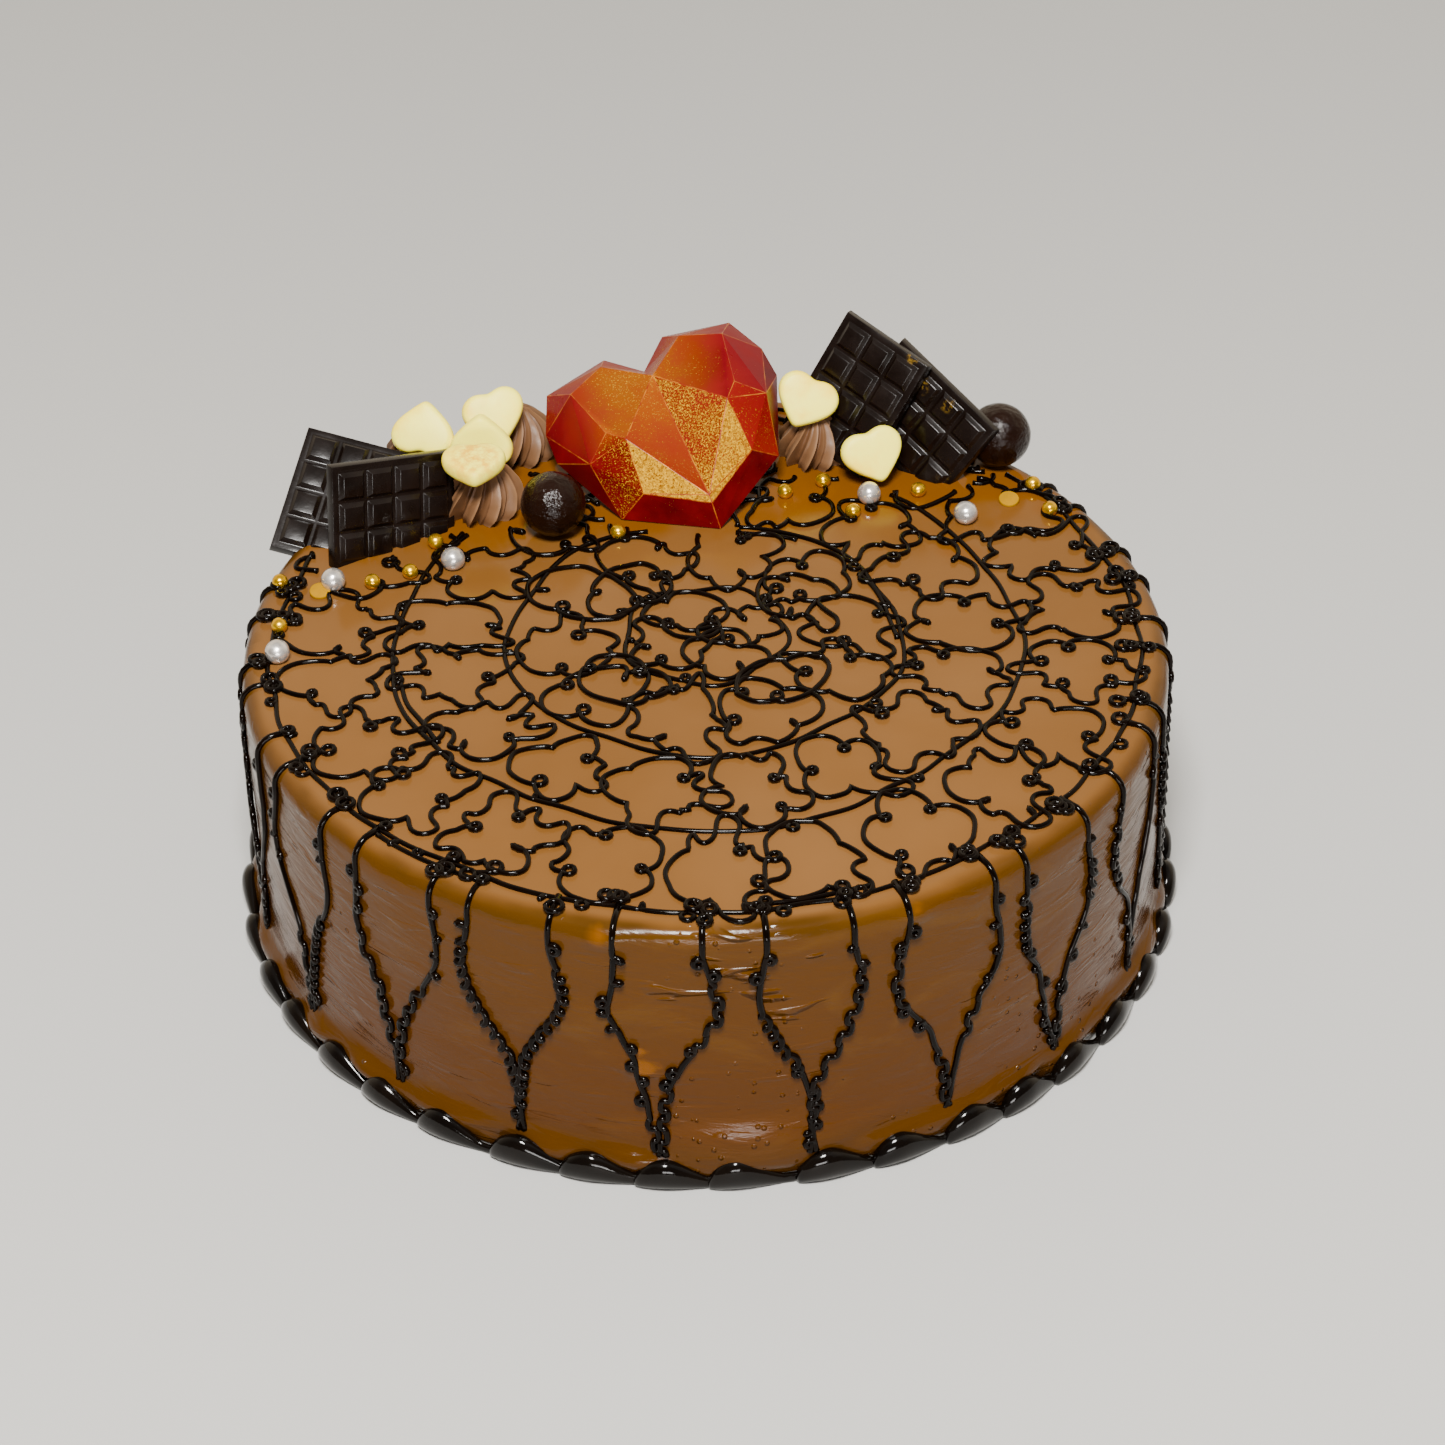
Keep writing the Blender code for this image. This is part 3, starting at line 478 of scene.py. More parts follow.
# Shell border: one teardrop shaped from a sphere, copied round the base
def makeShells():
    rng = random.Random(shells["seed"])
    detail = random.Random(shells["detailSeed"])
    plump = [rng.uniform(0.93, 1.0) for shell in range(shells["count"])]
    pitch = 2 * pi / shells["count"]
    inner = cake["baseRadius"] + shells["gap"]
    bpy.ops.mesh.primitive_uv_sphere_add(segments=shells["around"], ring_count=shells["rows"], radius=1)
    pattern = bpy.context.object
    pattern.rotation_euler = (0, radians(90), 0)
    settle(pattern)
    drops = []
    for shell in range(shells["count"]):
        drop = addObject("shell", pattern.data.copy())
        drops.append(drop)
        shift = detail.uniform(-0.09, 0.09)
        stretch = detail.uniform(0.94, 1.08)
        fat = detail.uniform(0.92, 1.02)
        for vert in drop.data.vertices:
            x, y, z = vert.co
            s = 0.5 - asin(max(-1.0, min(1.0, -x))) / pi
            ring = hypot(y, z)
            fullness = shellFullness(s) if ring > 1e-4 else 0.0
            y, z = (y / ring, z / ring) if ring > 1e-4 else (0, 0)
            halfHigh = 0.5 * shells["height"] * plump[shell] * fullness
            halfWide = 0.5 * shells["width"] * fullness * fat
            centreUp = halfHigh * 0.97 if fullness > shells["tail"] * 0.9 else shells["height"] * 0.17
            radial = inner + 0.48 * shells["width"] * (1 - 0.25 * s) + y * halfWide
            along = pitch * (shell + 0.02 + shift + s * shells["length"] * stretch)
            vert.co = polar(radial, along, max(0.0, centreUp + z * halfHigh)) * mm
    bpy.data.objects.remove(pattern)
    finishPiece(joinPieces(drops, "shellBorder"), shellGlaze, "dark_glaze", "border")


makeShells()
print("shell border ready")


heartForm = {
    "outline": ((0, 52), (8.2, 59.8), (25.7, 56.2), (30.3, 45.1), (30.7, 35.9), (21.7, 13.4), (0, 0)),
    "relief": {"C": (0, 43.1, 10.9), "B": (10.9, 52.3, 9.4), "A": (21, 47.3, 10.5), "D": (17.6, 29.9, 15),
               "E": (13.9, 25.3, 16.3), "F": (24.3, 25.5, 11), "G": (14.9, 13.1, 8.5), "J": (0, 5.7, 8.4),
               "I": (0, 4.1, 6.9)},
    "tip": (4.1, 46.3, 0.3), "turn": (-10.7, 26.9, 31.5), "soft": 0.13, "ridge": 1.5, "blend": 0.6,
    "dustyFrom": 44, "dustyBelow": 8, "plainDust": 0.45, "nearAngle": 7, "foldAngle": 8,
}
heartTints = {   # colour and share of gold dust
    "orangeGold": (0.30, 0.085, 0.0008, 0.40), "orange": (0.25, 0.046, 0.0008, 0.24),
    "amber": (0.185, 0.025, 0.0026, 0.20), "red": (0.128, 0.0010, 0.0048, 0.05),
    "deepRed": (0.088, 0.0004, 0.0034, 0.02), "darkRed": (0.060, 0.0006, 0.0022, 0.04),
    "dusty": (0.15, 0.006, 0.003, 0.10), "brightGold": (0.38, 0.165, 0.0003, 1.00),
    "glitterGold": (0.18, 0.032, 0.0024, 0.74), "glitterBrown": (0.13, 0.012, 0.0024, 0.50),
    "glitterRed": (0.070, 0.003, 0.0006, 0.42), "ember": (0.16, 0.005, 0.0030, 0.16),
}
heartLooks = {   # what a facet wears on the left half and on the right half
    "ADE": ("orangeGold", "red"), "CEJ": ("amber", "glitterBrown"), "EGJ": ("brightGold", "glitterGold"),
    "GIJ": ("brightGold", "glitterGold"), "EFG": ("glitterRed", "ember"), "DEF": ("glitterRed", "ember"),
    "ADF": ("deepRed", "red"), "F": ("deepRed", "darkRed"), "other": ("darkRed", "darkRed"),
}
cornerLooks = {   # what a corner adds to the facets that meet there
    "A": ("red", "red"), "B": ("orangeGold", "orange"), "C": ("orangeGold", "orangeGold"),
    "D": ("orange", "ember"), "J": ("ember", "red"), "F": ("deepRed", "deepRed"),
}


def lettersAt(corner):
    folded = Vector((abs(corner.x), corner.y, corner.z)) / mm
    return [letter for letter, spot in heartForm["relief"].items() if (folded - Vector(spot)).length < 0.01]


def facetLook(mesh, face):
    letters = {letter for index in face.vertices for letter in lettersAt(mesh.vertices[index].co)}
    x, y, z = face.center / mm
    if y > heartForm["dustyFrom"] and z < heartForm["dustyBelow"] and face.normal.z > 0.1:
        return heartTints["dusty"]
    halves = heartLooks.get("".join(sorted(letters)), heartLooks["other"])
    return heartTints[halves[0 if x < 0 else 1]]


def cornerLook(corner):
    for letter in lettersAt(corner):
        if letter in cornerLooks:
            return heartTints[cornerLooks[letter][0 if corner.x < 0 else 1]]
    return None


def paintFacets(mesh):
    looks = [facetLook(mesh, face) for face in mesh.polygons]
    near = cos(radians(heartForm["nearAngle"]))
    tint = mesh.attributes.new("facetTint", "FLOAT_COLOR", "CORNER")
    for face in mesh.polygons:
        for loop, vertex in zip(face.loop_indices, face.vertices):
            shared = [looks[other.index] for other in mesh.polygons
                      if vertex in other.vertices and other.normal.dot(face.normal) > near]
            own = cornerLook(mesh.vertices[vertex].co)
            share = heartForm["blend"] if own and looks[face.index][3] < heartForm["plainDust"] else 0
            tint.data[loop].color = [(1 - share) * sum(look[i] for look in shared) / len(shared)
                                     + (share * own[i] if share else 0) for i in range(4)]


# Big heart: the hull of one half's facet corners, mirrored, with softened edges
def makeBigHeart():
    corners = [Vector((*corner, 0)) * mm for corner in heartForm["outline"]]
    corners += [Vector(corner) * mm for corner in heartForm["relief"].values()]
    mesh = bpy.data.meshes.new("facetedHeart")
    mesh.from_pydata(corners, [], [])
    heart = addObject("facetedHeart", mesh)
    editAll(heart)
    bpy.ops.mesh.convex_hull()
    selectFaces(heart, lambda face: all(abs(mesh.vertices[i].co.x) < 1e-6 for i in face.vertices))
    bpy.ops.mesh.delete(type="ONLY_FACE")
    setMode("OBJECT")
    addModifier(heart, "MIRROR", merge_threshold=0.00001)
    faceOutward(heart)
    paintFacets(heart.data)
    heart.data.materials.append(heartGloss)
    heart.data.materials.append(goldRubAndEdgeHighlight)
    # The bevelled edges wear the rubbed gold, partly a painted edge highlight
    addModifier(heart, "BEVEL", width=heartForm["soft"] * mm, segments=2, limit_method="ANGLE",
                angle_limit=radians(heartForm["foldAngle"]), material=1)
    for face in heart.data.polygons:
        if face.center.z < heartForm["ridge"] * mm:
            face.material_index = 0
    standAt(heart, heartForm["tip"], heartForm["turn"])
    handOver(heart, "red_gold", "big_heart")


makeBigHeart()
print("big heart ready")


barForm = {
    "pitch": 7.85, "rise": 1.2, "groove": 0.42, "slope": 0.95, "margin": 1.7, "thick": 2.4, "draft": 0.4,
    "edge": 0.13,
}
bars = {   # blocks across and up, angles, centre
    "bar_left_front": (4, 3, (33.0, 74.7, -11.2), (-77.7, 43.4, 9.1)),
    "bar_left_back": (3, 4, (9.0, 33.6, -22.3), (-92.3, 52.9, 6.5)),
    "bar_right_front": (3, 4, (-28.6, 61.2, -18.7), (38.8, 81.0, 18.0)),
    "bar_right_back": (4, 3, (-28.8, 67.7, -28.8), (55.0, 76.2, 12.5)),
}
goldSmudges = (   # bar, place on its face, reach
    ("bar_right_back", (-5.2, 8.2), 3.2), ("bar_right_back", (3.6, 9.4), 2.6),
    ("bar_right_back", (-4.5, -7.2), 3.0), ("bar_right_front", (8.6, 16.6), 2.0),
)


def makeBarChocolate():
    material = newMaterial("barChocolate", Specular_IOR_Level=0.30)
    cloud = addNoise(120, 4, 0.6)
    tint = mixColour(remap(cloud, 0.35, 0.7), (0.0030, 0.0013, 0.0007), (0.0056, 0.0027, 0.0018))
    smudged = None
    for bar, spot, reach in goldSmudges:
        across, up, angles, centre = bars[bar]
        far = farFrom(turned(*angles) @ Vector((*spot, 0)) + onTop(*centre))
        near = fade(far, 0.25 * reach * mm, reach * mm)
        smudged = calculate("MAXIMUM", smudged, near) if smudged else near
    gold = times(smudged, remap(addNoise(620, 4, 0.7), 0.48, 0.64), 0.8)
    feed("Base Color", mixColour(gold, tint, (0.30, 0.165, 0.012)))
    feed("Metallic", times(gold, 0.5))
    feed("Roughness", remap(cloud, 0.3, 0.7, 0.19, 0.32))
    addBump(plus(times(addNoise(900, 3, 0.6), 0.3), cloud), 0.00018, 0.4)
    return material


# Bar: a grid of blocks inset and raised on a plate
def makeBar(node):
    across, up, angles, centre = bars[node]
    bpy.ops.mesh.primitive_grid_add(x_subdivisions=across, y_subdivisions=up, size=1)
    bar = nameNew(node.replace("bar", "chocolateBar"))
    halves = (across * barForm["pitch"] * mm / 2, up * barForm["pitch"] * mm / 2)
    bar.scale = (2 * halves[0], 2 * halves[1], 1)
    settle(bar)
    setMode("EDIT")
    bpy.ops.mesh.select_mode(type="EDGE")
    bpy.ops.mesh.select_all(action="DESELECT")
    bpy.ops.mesh.select_non_manifold()
    margin = barForm["margin"]
    for reach, level in ((margin - barForm["draft"], 0), (margin, -barForm["thick"])):
        bpy.ops.mesh.extrude_edges_move()
        setMode("OBJECT")
        for vert in bar.data.vertices:
            if vert.select:
                for axis, half in enumerate(halves):
                    if abs(vert.co[axis]) > half - 1e-5:
                        vert.co[axis] = copysign(half + reach * mm, vert.co[axis])
                vert.co.z = level * mm
        setMode("EDIT")
    bpy.ops.mesh.fill_holes(sides=0)
    selectFaces(bar, lambda face: abs(face.center.x) < halves[0] and abs(face.center.y) < halves[1]
                and abs(face.center.z) < 1e-6)
    bpy.ops.mesh.inset(thickness=barForm["groove"] * mm, depth=0, use_individual=True)
    bpy.ops.mesh.inset(thickness=barForm["slope"] * mm, depth=barForm["rise"] * mm, use_individual=True)
    setMode("OBJECT")
    faceOutward(bar)
    addModifier(bar, "BEVEL", width=barForm["edge"] * mm, segments=2, angle_limit=radians(25))
    standAt(bar, centre, angles)
    finishPiece(bar, barChocolate, "dark_chocolate", node, angle=30)


barChocolate = makeBarChocolate()
for node in bars:
    makeBar(node)
print("bars ready")


rosetteForm = {
    "levels": ((0, 0.80), (0.16, 1.0), (0.48, 0.95), (0.78, 0.66), (1.0, 0.30)), "finDepth": 0.33,
    "twist": 36, "perFin": 16, "rows": 26, "fall": 0.55, "flare": 0.05, "crease": 0.42,
    "creaseWide": 0.10, "tipRise": 1.6,
}
rosettes = {   # x, y, radius, height, fins, first bearing
    "rosette_front": (-57.0, 57.8, 11.0, 15.0, 11, 0.0),
    "rosette_left": (-73.6, 73.2, 9.8, 14.3, 10, 12.0),
    "rosette_middle": (-48.6, 84.6, 10.8, 13.0, 11, 6.0),
    "rosette_right": (28.2, 80.5, 9.6, 13.5, 10, 20.0),
    "rosette_support": (-10.0, 84.0, 10.8, 15.6, 11, 4.0),
}


def reachAt(share):
    levels = rosetteForm["levels"]
    for (low, a), (high, b) in zip(levels, levels[1:]):
        if share <= high:
            return a + (b - a) * (share - low) / (high - low)


# Rosette: a circle extruded upwards, folded into fins that twist and close
def makeRosette(node):
    form = rosetteForm
    x0, y0, radius, height, fins, first = rosettes[node]
    swirl = filledCircle(node.replace("rosette", "creamRosette"), fins * form["perFin"], radius * mm)
    for row in range(form["rows"]):
        raiseFaces(height / form["rows"])
    for ring in range(3):
        bpy.ops.mesh.inset(thickness=radius * mm / 4, depth=0)
    setMode("OBJECT")
    # The fin attribute marks where the painted fold shade and the painted crest highlight go
    foldShadeAndCrestLight = swirl.data.attributes.new("fin", "FLOAT", "POINT")
    for index, vert in enumerate(swirl.data.vertices):
        x, y, z = vert.co / mm
        share = min(1.0, max(0.0, z / height))
        level = min(1.0, hypot(x, y) / radius)
        bearing = atan2(y, x)
        fin = (fins * (bearing - pi / 2) / (2 * pi) + 1e-4) % 1
        wobble = unevenAt(x * 0.12 + x0, y * 0.12 + y0, z * 0.05)
        hollow = sin(pi * fin ** form["fall"]) ** 1.2
        hollow *= 1 - form["crease"] * exp(-((fin - 0.5) / form["creaseWide"]) ** 2)
        depth = form["finDepth"] * (1 + 0.25 * wobble) * (1 - 0.25 * share)
        reach = radius * 0.5 * (reachAt(max(0, share - 0.05)) + reachAt(min(1, share + 0.05))) * level
        reach *= 1 - depth * hollow * level + form["flare"] * (1 - hollow) * level * (1 - share)
        reach *= 1 + 0.05 * wobble
        turn = bearing + radians(form["twist"] * share + first)
        vert.co = polar(reach, turn, z + (1 - level) * form["tipRise"] * share ** 4) * mm
        foldShadeAndCrestLight.data[index].value = 1 - hollow * level
    standAt(swirl, (x0, y0, 0.1))
    finishPiece(swirl, buttercream, "buttercream", node, angle=50)


for node in rosettes:
    makeRosette(node)
print("rosettes ready")


smallHeart = {
    "width": 16.2, "thick": 4.5, "round": 1.5, "points": 48, "point": 0.50, "steps": 8,
    "crown": ((0.86, 0.10), (0.66, 0.10), (0.42, 0.05), (0.18, 0.02)),   # size and lift
}
smallHearts = {   # centre, angles
    "small_heart_1": ((-57.6, 50.0, 18.4), (8.0, 5.0, -4.0)),
    "small_heart_2": ((-53.6, 76.4, 16.4), (8.0, 52.0, 14.0)),
    "small_heart_3": ((-71.5, 69.7, 16.1), (-6.0, 50.0, 176.0)),
    "small_heart_4": ((26.4, 78.4, 18.4), (4.0, 55.0, -28.0)),
    "small_heart_5": ((43.3, 67.2, 8.9), (10.0, 58.0, 14.0)),
    "small_heart_6": ((-56.6, 65.6, 14.8), (0.0, 75.0, 180.0)),
}


def makeCreamChocolate():
    material = newMaterial("creamChocolate", Roughness=0.42, Specular_IOR_Level=0.25, Subsurface_Weight=0.15,
                           Subsurface_Radius=(0.002, 0.0014, 0.0007))
    cloud = addNoise(70, 4, 0.6)
    grain = addNoise(1100, 3, 0.6)
    tint = mixColour(ease(cloud, 0.46, 0.66, 0.0, 0.9), (1.0, 0.87, 0.085), (1.0, 0.70, 0.015))
    x, y, z = smallHearts["small_heart_1"][0]
    near = fade(farFrom(onTop(x, y - 0.5, z + 2)), 0.0035, 0.0085)
    rubbed = times(near, remap(addNoise(420, 4, 0.65), 0.40, 0.60))   # gold rubbed on the front heart
    tint = mixColour(rubbed, tint, (0.82, 0.43, 0.002))
    feed("Base Color", mixColour(remap(grain, 0.55, 0.8, 0.0, 0.25), tint, (0.95, 0.72, 0.14)))
    addBump(plus(cloud, times(grain, 0.4)), 0.00018, 0.5)
    return material


# Small heart: a heart outline swollen over a round edge, then closed in a low crown
def makeSmallHeart(node):
    heart = filledCircle(node.replace("small_heart", "creamHeart"), smallHeart["points"], 1)
    setMode("OBJECT")
    flat = smallHeart["width"] - 2 * smallHeart["round"]
    point = smallHeart["point"]
    half = smallHeart["thick"] / 2
    for vert in heart.data.vertices:
        t = atan2(vert.co.x, vert.co.y)
        sharpX = sin(t) ** 3
        sharpY = (13 * cos(t) - 5 * cos(2 * t) - 2 * cos(3 * t) - cos(4 * t)) / 16
        x = point * sharpX + (1 - point) * sin(t)
        y = point * (sharpY + 0.15) + (1 - point) * 0.93 * cos(t)
        vert.co = Vector((0.5 * flat * x, 0.5 * flat * y, -half)) * mm
    turns = [pi * step / smallHeart["steps"] for step in range(smallHeart["steps"] + 1)]
    rows = [(1 + (smallHeart["width"] / flat - 1) * sin(turn) ** 0.8, half * (cos(before) - cos(turn)))
            for before, turn in zip(turns, turns[1:])]
    old = 1.0
    setMode("EDIT")
    for size, lift in (*rows, *smallHeart["crown"]):
        raiseFaces(lift)
        bpy.ops.transform.resize(value=(size / old, size / old, 1), center_override=(0, 0, 0))
        old = size
    setMode("OBJECT")
    standAt(heart, *smallHearts[node])
    finishPiece(heart, creamChocolate, "white_chocolate", node)


creamChocolate = makeCreamChocolate()
for node in smallHearts:
    makeSmallHeart(node)
print("small hearts ready")


balls = {"ball_left": (-38.0, 46.3), "ball_right": (76.1, 76.1)}
ballForm = {"radius": 8.25, "gap": 0.3}
pearls = {
    "silver": ((-62.7, 31.2), (-91.9, 22.6), (-103.0, -7.7), (42.0, 58.6), (66.1, 49.0)),
    "gold": ((-67.6, 40.6), (-73.2, 27.2), (-82.3, 23.0), (-105.2, 23.5), (-103.7, 4.6), (-21.8, 43.9),
             (20.7, 61.5), (30.5, 66.5), (37.7, 52.1), (54.7, 61.4), (84.2, 63.6), (87.6, 51.9)),
    "silverSize": 6.0, "goldSize": 4.0, "sink": 0.45,
}
foilDiscs = {
    "places": ((-95.1, 20.4), (77.7, 57.8)), "size": 5.2, "thick": 1.1, "edge": 0.35, "lean": 12, "up": 0.7,
}


def dent(piece, depth, grain, x, y):
    for vert in piece.data.vertices:
        vert.co *= 1 + depth * noise.noise(vert.co * grain + Vector((x, y, 0)))


def makeBall(node):
    x, y = balls[node]
    bpy.ops.mesh.primitive_uv_sphere_add(segments=48, ring_count=28, radius=ballForm["radius"] * mm)
    ball = nameNew(node.replace("ball", "chocolateBall"))
    dent(ball, 0.012, 260, x, y)
    standAt(ball, (x, y, ballForm["radius"] + ballForm["gap"]))
    finishPiece(ball, ballChocolate, "ball_chocolate", node)


def scatterPearls(name, spots, size, material):
    made = []
    for x, y in spots:
        bpy.ops.mesh.primitive_ico_sphere_add(subdivisions=4, radius=size / 2 * mm)
        pearl = bpy.context.object
        dent(pearl, 0.02, 500, x, y)
        pearl.location = onTop(x, y, size / 2 - pearls["sink"]) * mm
        made.append(pearl)
    finishPiece(joinPieces(made, name), material, "caramel")


def makeFoilDiscs():
    made = []
    for x, y in foilDiscs["places"]:
        bpy.ops.mesh.primitive_cylinder_add(vertices=32, radius=foilDiscs["size"] / 2 * mm,
                                            depth=foilDiscs["thick"] * mm)
        disc = bpy.context.object
        addModifier(disc, "BEVEL", width=foilDiscs["edge"] * mm, segments=3, angle_limit=radians(40))
        disc.location = onTop(x, y, foilDiscs["up"]) * mm
        disc.rotation_euler = (radians(foilDiscs["lean"]), 0, 0)
        made.append(disc)
    finishPiece(joinPieces(made, "goldDiscs"), foilGold, "caramel", angle=40)


for node in balls:
    makeBall(node)
scatterPearls("silverPearls", pearls["silver"], pearls["silverSize"], silverShine)
scatterPearls("goldPearls", pearls["gold"], pearls["goldSize"], goldShine)
makeFoilDiscs()
print("balls, pearls and discs ready")


feet = {   # how far piping keeps from each kind of foot, and how the feet are found
    "room": 1.5, "ball": 4.6, "heart": 2.6, "bar": 2.2, "smallHeart": 4.2, "lowHeart": "small_heart_5",
    "steps": 16, "heartSteps": 8, "barHigh": 2,
}


# Piping keeps clear of the places where a topping stands on the top
def standingPlaces():
    places = [(x, y, radius) for x, y, radius, *rest in rosettes.values()]
    places += [(x, y, feet["ball"]) for x, y in balls.values()]
    corner = heartForm["outline"][5]
    edge = turned(*heartForm["turn"]) @ Vector((-corner[0], corner[1], 0))
    for step in range(feet["heartSteps"] + 1):
        spot = Vector(heartForm["tip"]) + edge * step / feet["heartSteps"]
        places.append((spot.x, spot.y, feet["heart"]))
    for across, up, angles, centre in bars.values():
        halfWide = across * barForm["pitch"] / 2 + barForm["margin"]
        halfHigh = up * barForm["pitch"] / 2 + barForm["margin"]
        for step in range(feet["steps"] + 1):
            x = halfWide * (2 * step / feet["steps"] - 1)
            for depth in (0, -barForm["thick"]):
                low = turned(*angles) @ Vector((x, -halfHigh, depth))
                high = turned(*angles) @ Vector((x, halfHigh, depth))
                share = min(1, max(0, (-centre[2] - low.z) / (high.z - low.z)))
                spot = Vector(centre) + low.lerp(high, share)
                if spot.z < feet["barHigh"]:
                    places.append((spot.x, spot.y, feet["bar"]))
    centre, angles = smallHearts[feet["lowHeart"]]
    low = turned(*angles) @ Vector((0, -smallHeart["width"] / 5, 0))
    places.append((centre[0] + low.x, centre[1] + low.y, feet["smallHeart"]))
    return [(x, y, reach + feet["room"]) for x, y, reach in places]


keepOut = standingPlaces()
piping = {
    "thick": 0.62, "lift": 0.42, "arcRadii": (20, 48, 76, 105), "arcWave": 1.3, "arcWaves": 5,
    "outerArcWave": 0.5, "arcStep": 1.3, "arcTremble": 1.3, "seed": 16, "detailSeed": 7, "layer": 0.05,
    "layers": 5, "roundness": 0.8, "cusp": (0.26, 0.48), "share": (0.7, 1.3), "spread": (0.94, 1.05),
    "flatBand": 20, "stepsPerTurn": 150, "wiggle": 0.6, "wiggleMiddle": 0.25, "wiggleHigh": (2.6, 4.4),
    "wiggleLong": 12.0, "warp": 2.2, "uneven": 0.16, "endSwell": 1.25, "curlShare": 0.42,
    "stubShare": 0.66, "curl": (0.95, 1.5), "stub": (1.2, 3.2), "lean": (0, 1.6),
}
bands = (   # radius, medallions, first bearing, depth, width
    (90.3, 23, 177, 29.0, 25.5),
    (62, 17, 195, 28.5, 24),
    (34, 10, 188, 28, 22.5),
    (9.5, 4, 30, 22, 20),
)
extraBand = (27, 4, 40, 19, 26)   # further loops across the middle


# Every line is a run of points with a thickness at each, and a piece sweeps its lines as one mesh
def sweepLines(name, lines, twist):
    data = bpy.data.curves.new(name, "CURVE")
    data.dimensions = "3D"
    data.twist_mode = twist
    data.bevel_depth = mm
    data.bevel_resolution = 2
    data.use_fill_caps = True
    for spots, closed in lines:
        spline = data.splines.new("POLY")
        spline.points.add(len(spots) - 1)
        for point, (x, y, z, thick) in zip(spline.points, spots):
            point.co = (x * mm, y * mm, z * mm, 1)
            point.radius = thick
        spline.use_cyclic_u = closed
    piece = addObject(name, data)
    selectOnly(piece)
    bpy.ops.object.convert(target="MESH")
    editAll(piece)
    bpy.ops.mesh.remove_doubles(threshold=0.00001)
    setMode("OBJECT")
    faceOutward(piece)
    finishPiece(piece, darkPiping, "dark_glaze")
    print(name, "ready:", len(piece.data.polygons), "faces")


def unevenThickness(spots, detail, ends):
    phase = detail.uniform(0, 50)
    made = []
    for index, (x, y, z, thick) in enumerate(spots):
        thick *= 1 + piping["uneven"] * unevenAt(phase + 0.07 * index, 3.1)
        if ends and index in (0, len(spots) - 1):
            thick *= piping["endSwell"]
        made.append((x, y, z, thick))
    return made


def clipLine(spots, closed):   # cut where it would run under a topping
    free = [spot[2] < wallTop or all(hypot(spot[0] - x, spot[1] - y) > reach for x, y, reach in keepOut)
            for spot in spots]
    if all(free):
        return [(spots, closed)]
    if closed:
        start = free.index(False)
        spots = spots[start:] + spots[:start]
        free = free[start:] + free[:start]
    runs = [[]]
    for spot, ok in zip(spots, free):
        if ok:
            runs[-1].append(spot)
        elif runs[-1]:
            runs.append([])
    return [(run, False) for run in runs if len(run) > 3]


def finishLines(lines, detail):
    pieces = [piece for line in lines for piece in clipLine(*line)]
    return [(unevenThickness(spots, detail, not closed), closed) for spots, closed in pieces]


def curl(origin, along, across, outward, size, thick, turns=1.0):
    steps = max(7, int(10 * turns * (0.55 + 0.45 * size)))
    made = []
    for step in range(1, steps):
        turn = 2 * pi * turns * step / steps
        spot = origin + across * size * (1 - cos(turn)) + along * size * sin(turn)
        made.append((*(spot + outward * 0.35 * sin(0.5 * turn / turns)), thick))
    return made


def stub(origin, along, across, outward, length, lean, thick):
    made = []
    for step in range(1, 8):
        t = step / 8
        bulge = sin(pi * t)
        drift = along * (lean * bulge + 0.9 * (t - 0.5))
        spot = origin + across * length * bulge + drift + outward * 0.2 * bulge
        made.append((*spot, thick * (1 + 0.3 * bulge ** 4)))
    return made


def mark(form, spot, along, across, outward, detail):   # a curl, a stub or nothing, back at the spot
    kind = detail.random()
    thick = form["thick"]
    if kind < form["curlShare"]:
        made = curl(spot, along, across, outward, detail.uniform(*form["curl"]), thick)
    elif kind < form["stubShare"]:
        length, lean = detail.uniform(*form["stub"]), detail.uniform(*form["lean"])
        made = stub(spot, along, across, outward, length, lean, thick)
    else:
        return []
    return made + [(*spot, thick)]


def cuspMark(spot, inward, detail):
    along = upward.cross(inward) * detail.choice((-1, 1))
    return mark(piping, spot, along, inward, upward, detail)


def drawWiggle(detail, length, share):
    fit = 0.95 * length / piping["wiggleLong"]
    if fit < 1 or detail.random() > share:
        return None
    waves = min(detail.choice((1, 1.5, 2)), int(2 * fit) / 2)
    half = 0.5 * waves * piping["wiggleLong"] / length
    return detail.uniform(half + 0.02, 0.98 - half), half, waves, detail.uniform(*piping["wiggleHigh"])


def wiggleAt(wiggle, u):   # how far a line swings inwards and sideways
    if not wiggle or abs(u - wiggle[0]) > wiggle[1]:
        return 0.0, 0.0
    middle, half, waves, high = wiggle
    phase = pi * waves * (u - middle) / half
    window = cos(0.5 * pi * (u - middle) / half) ** 0.5
    return high * sin(phase) * window, -0.26 * high * sin(2 * phase) * window


def warped(spot, level):
    shifts = [piping["warp"] * unevenAt(spot.x * 0.06, spot.y * 0.06, z) for z in (4.2, 9.7)]
    return Vector((spot.x + shifts[0], spot.y + shifts[1], level))


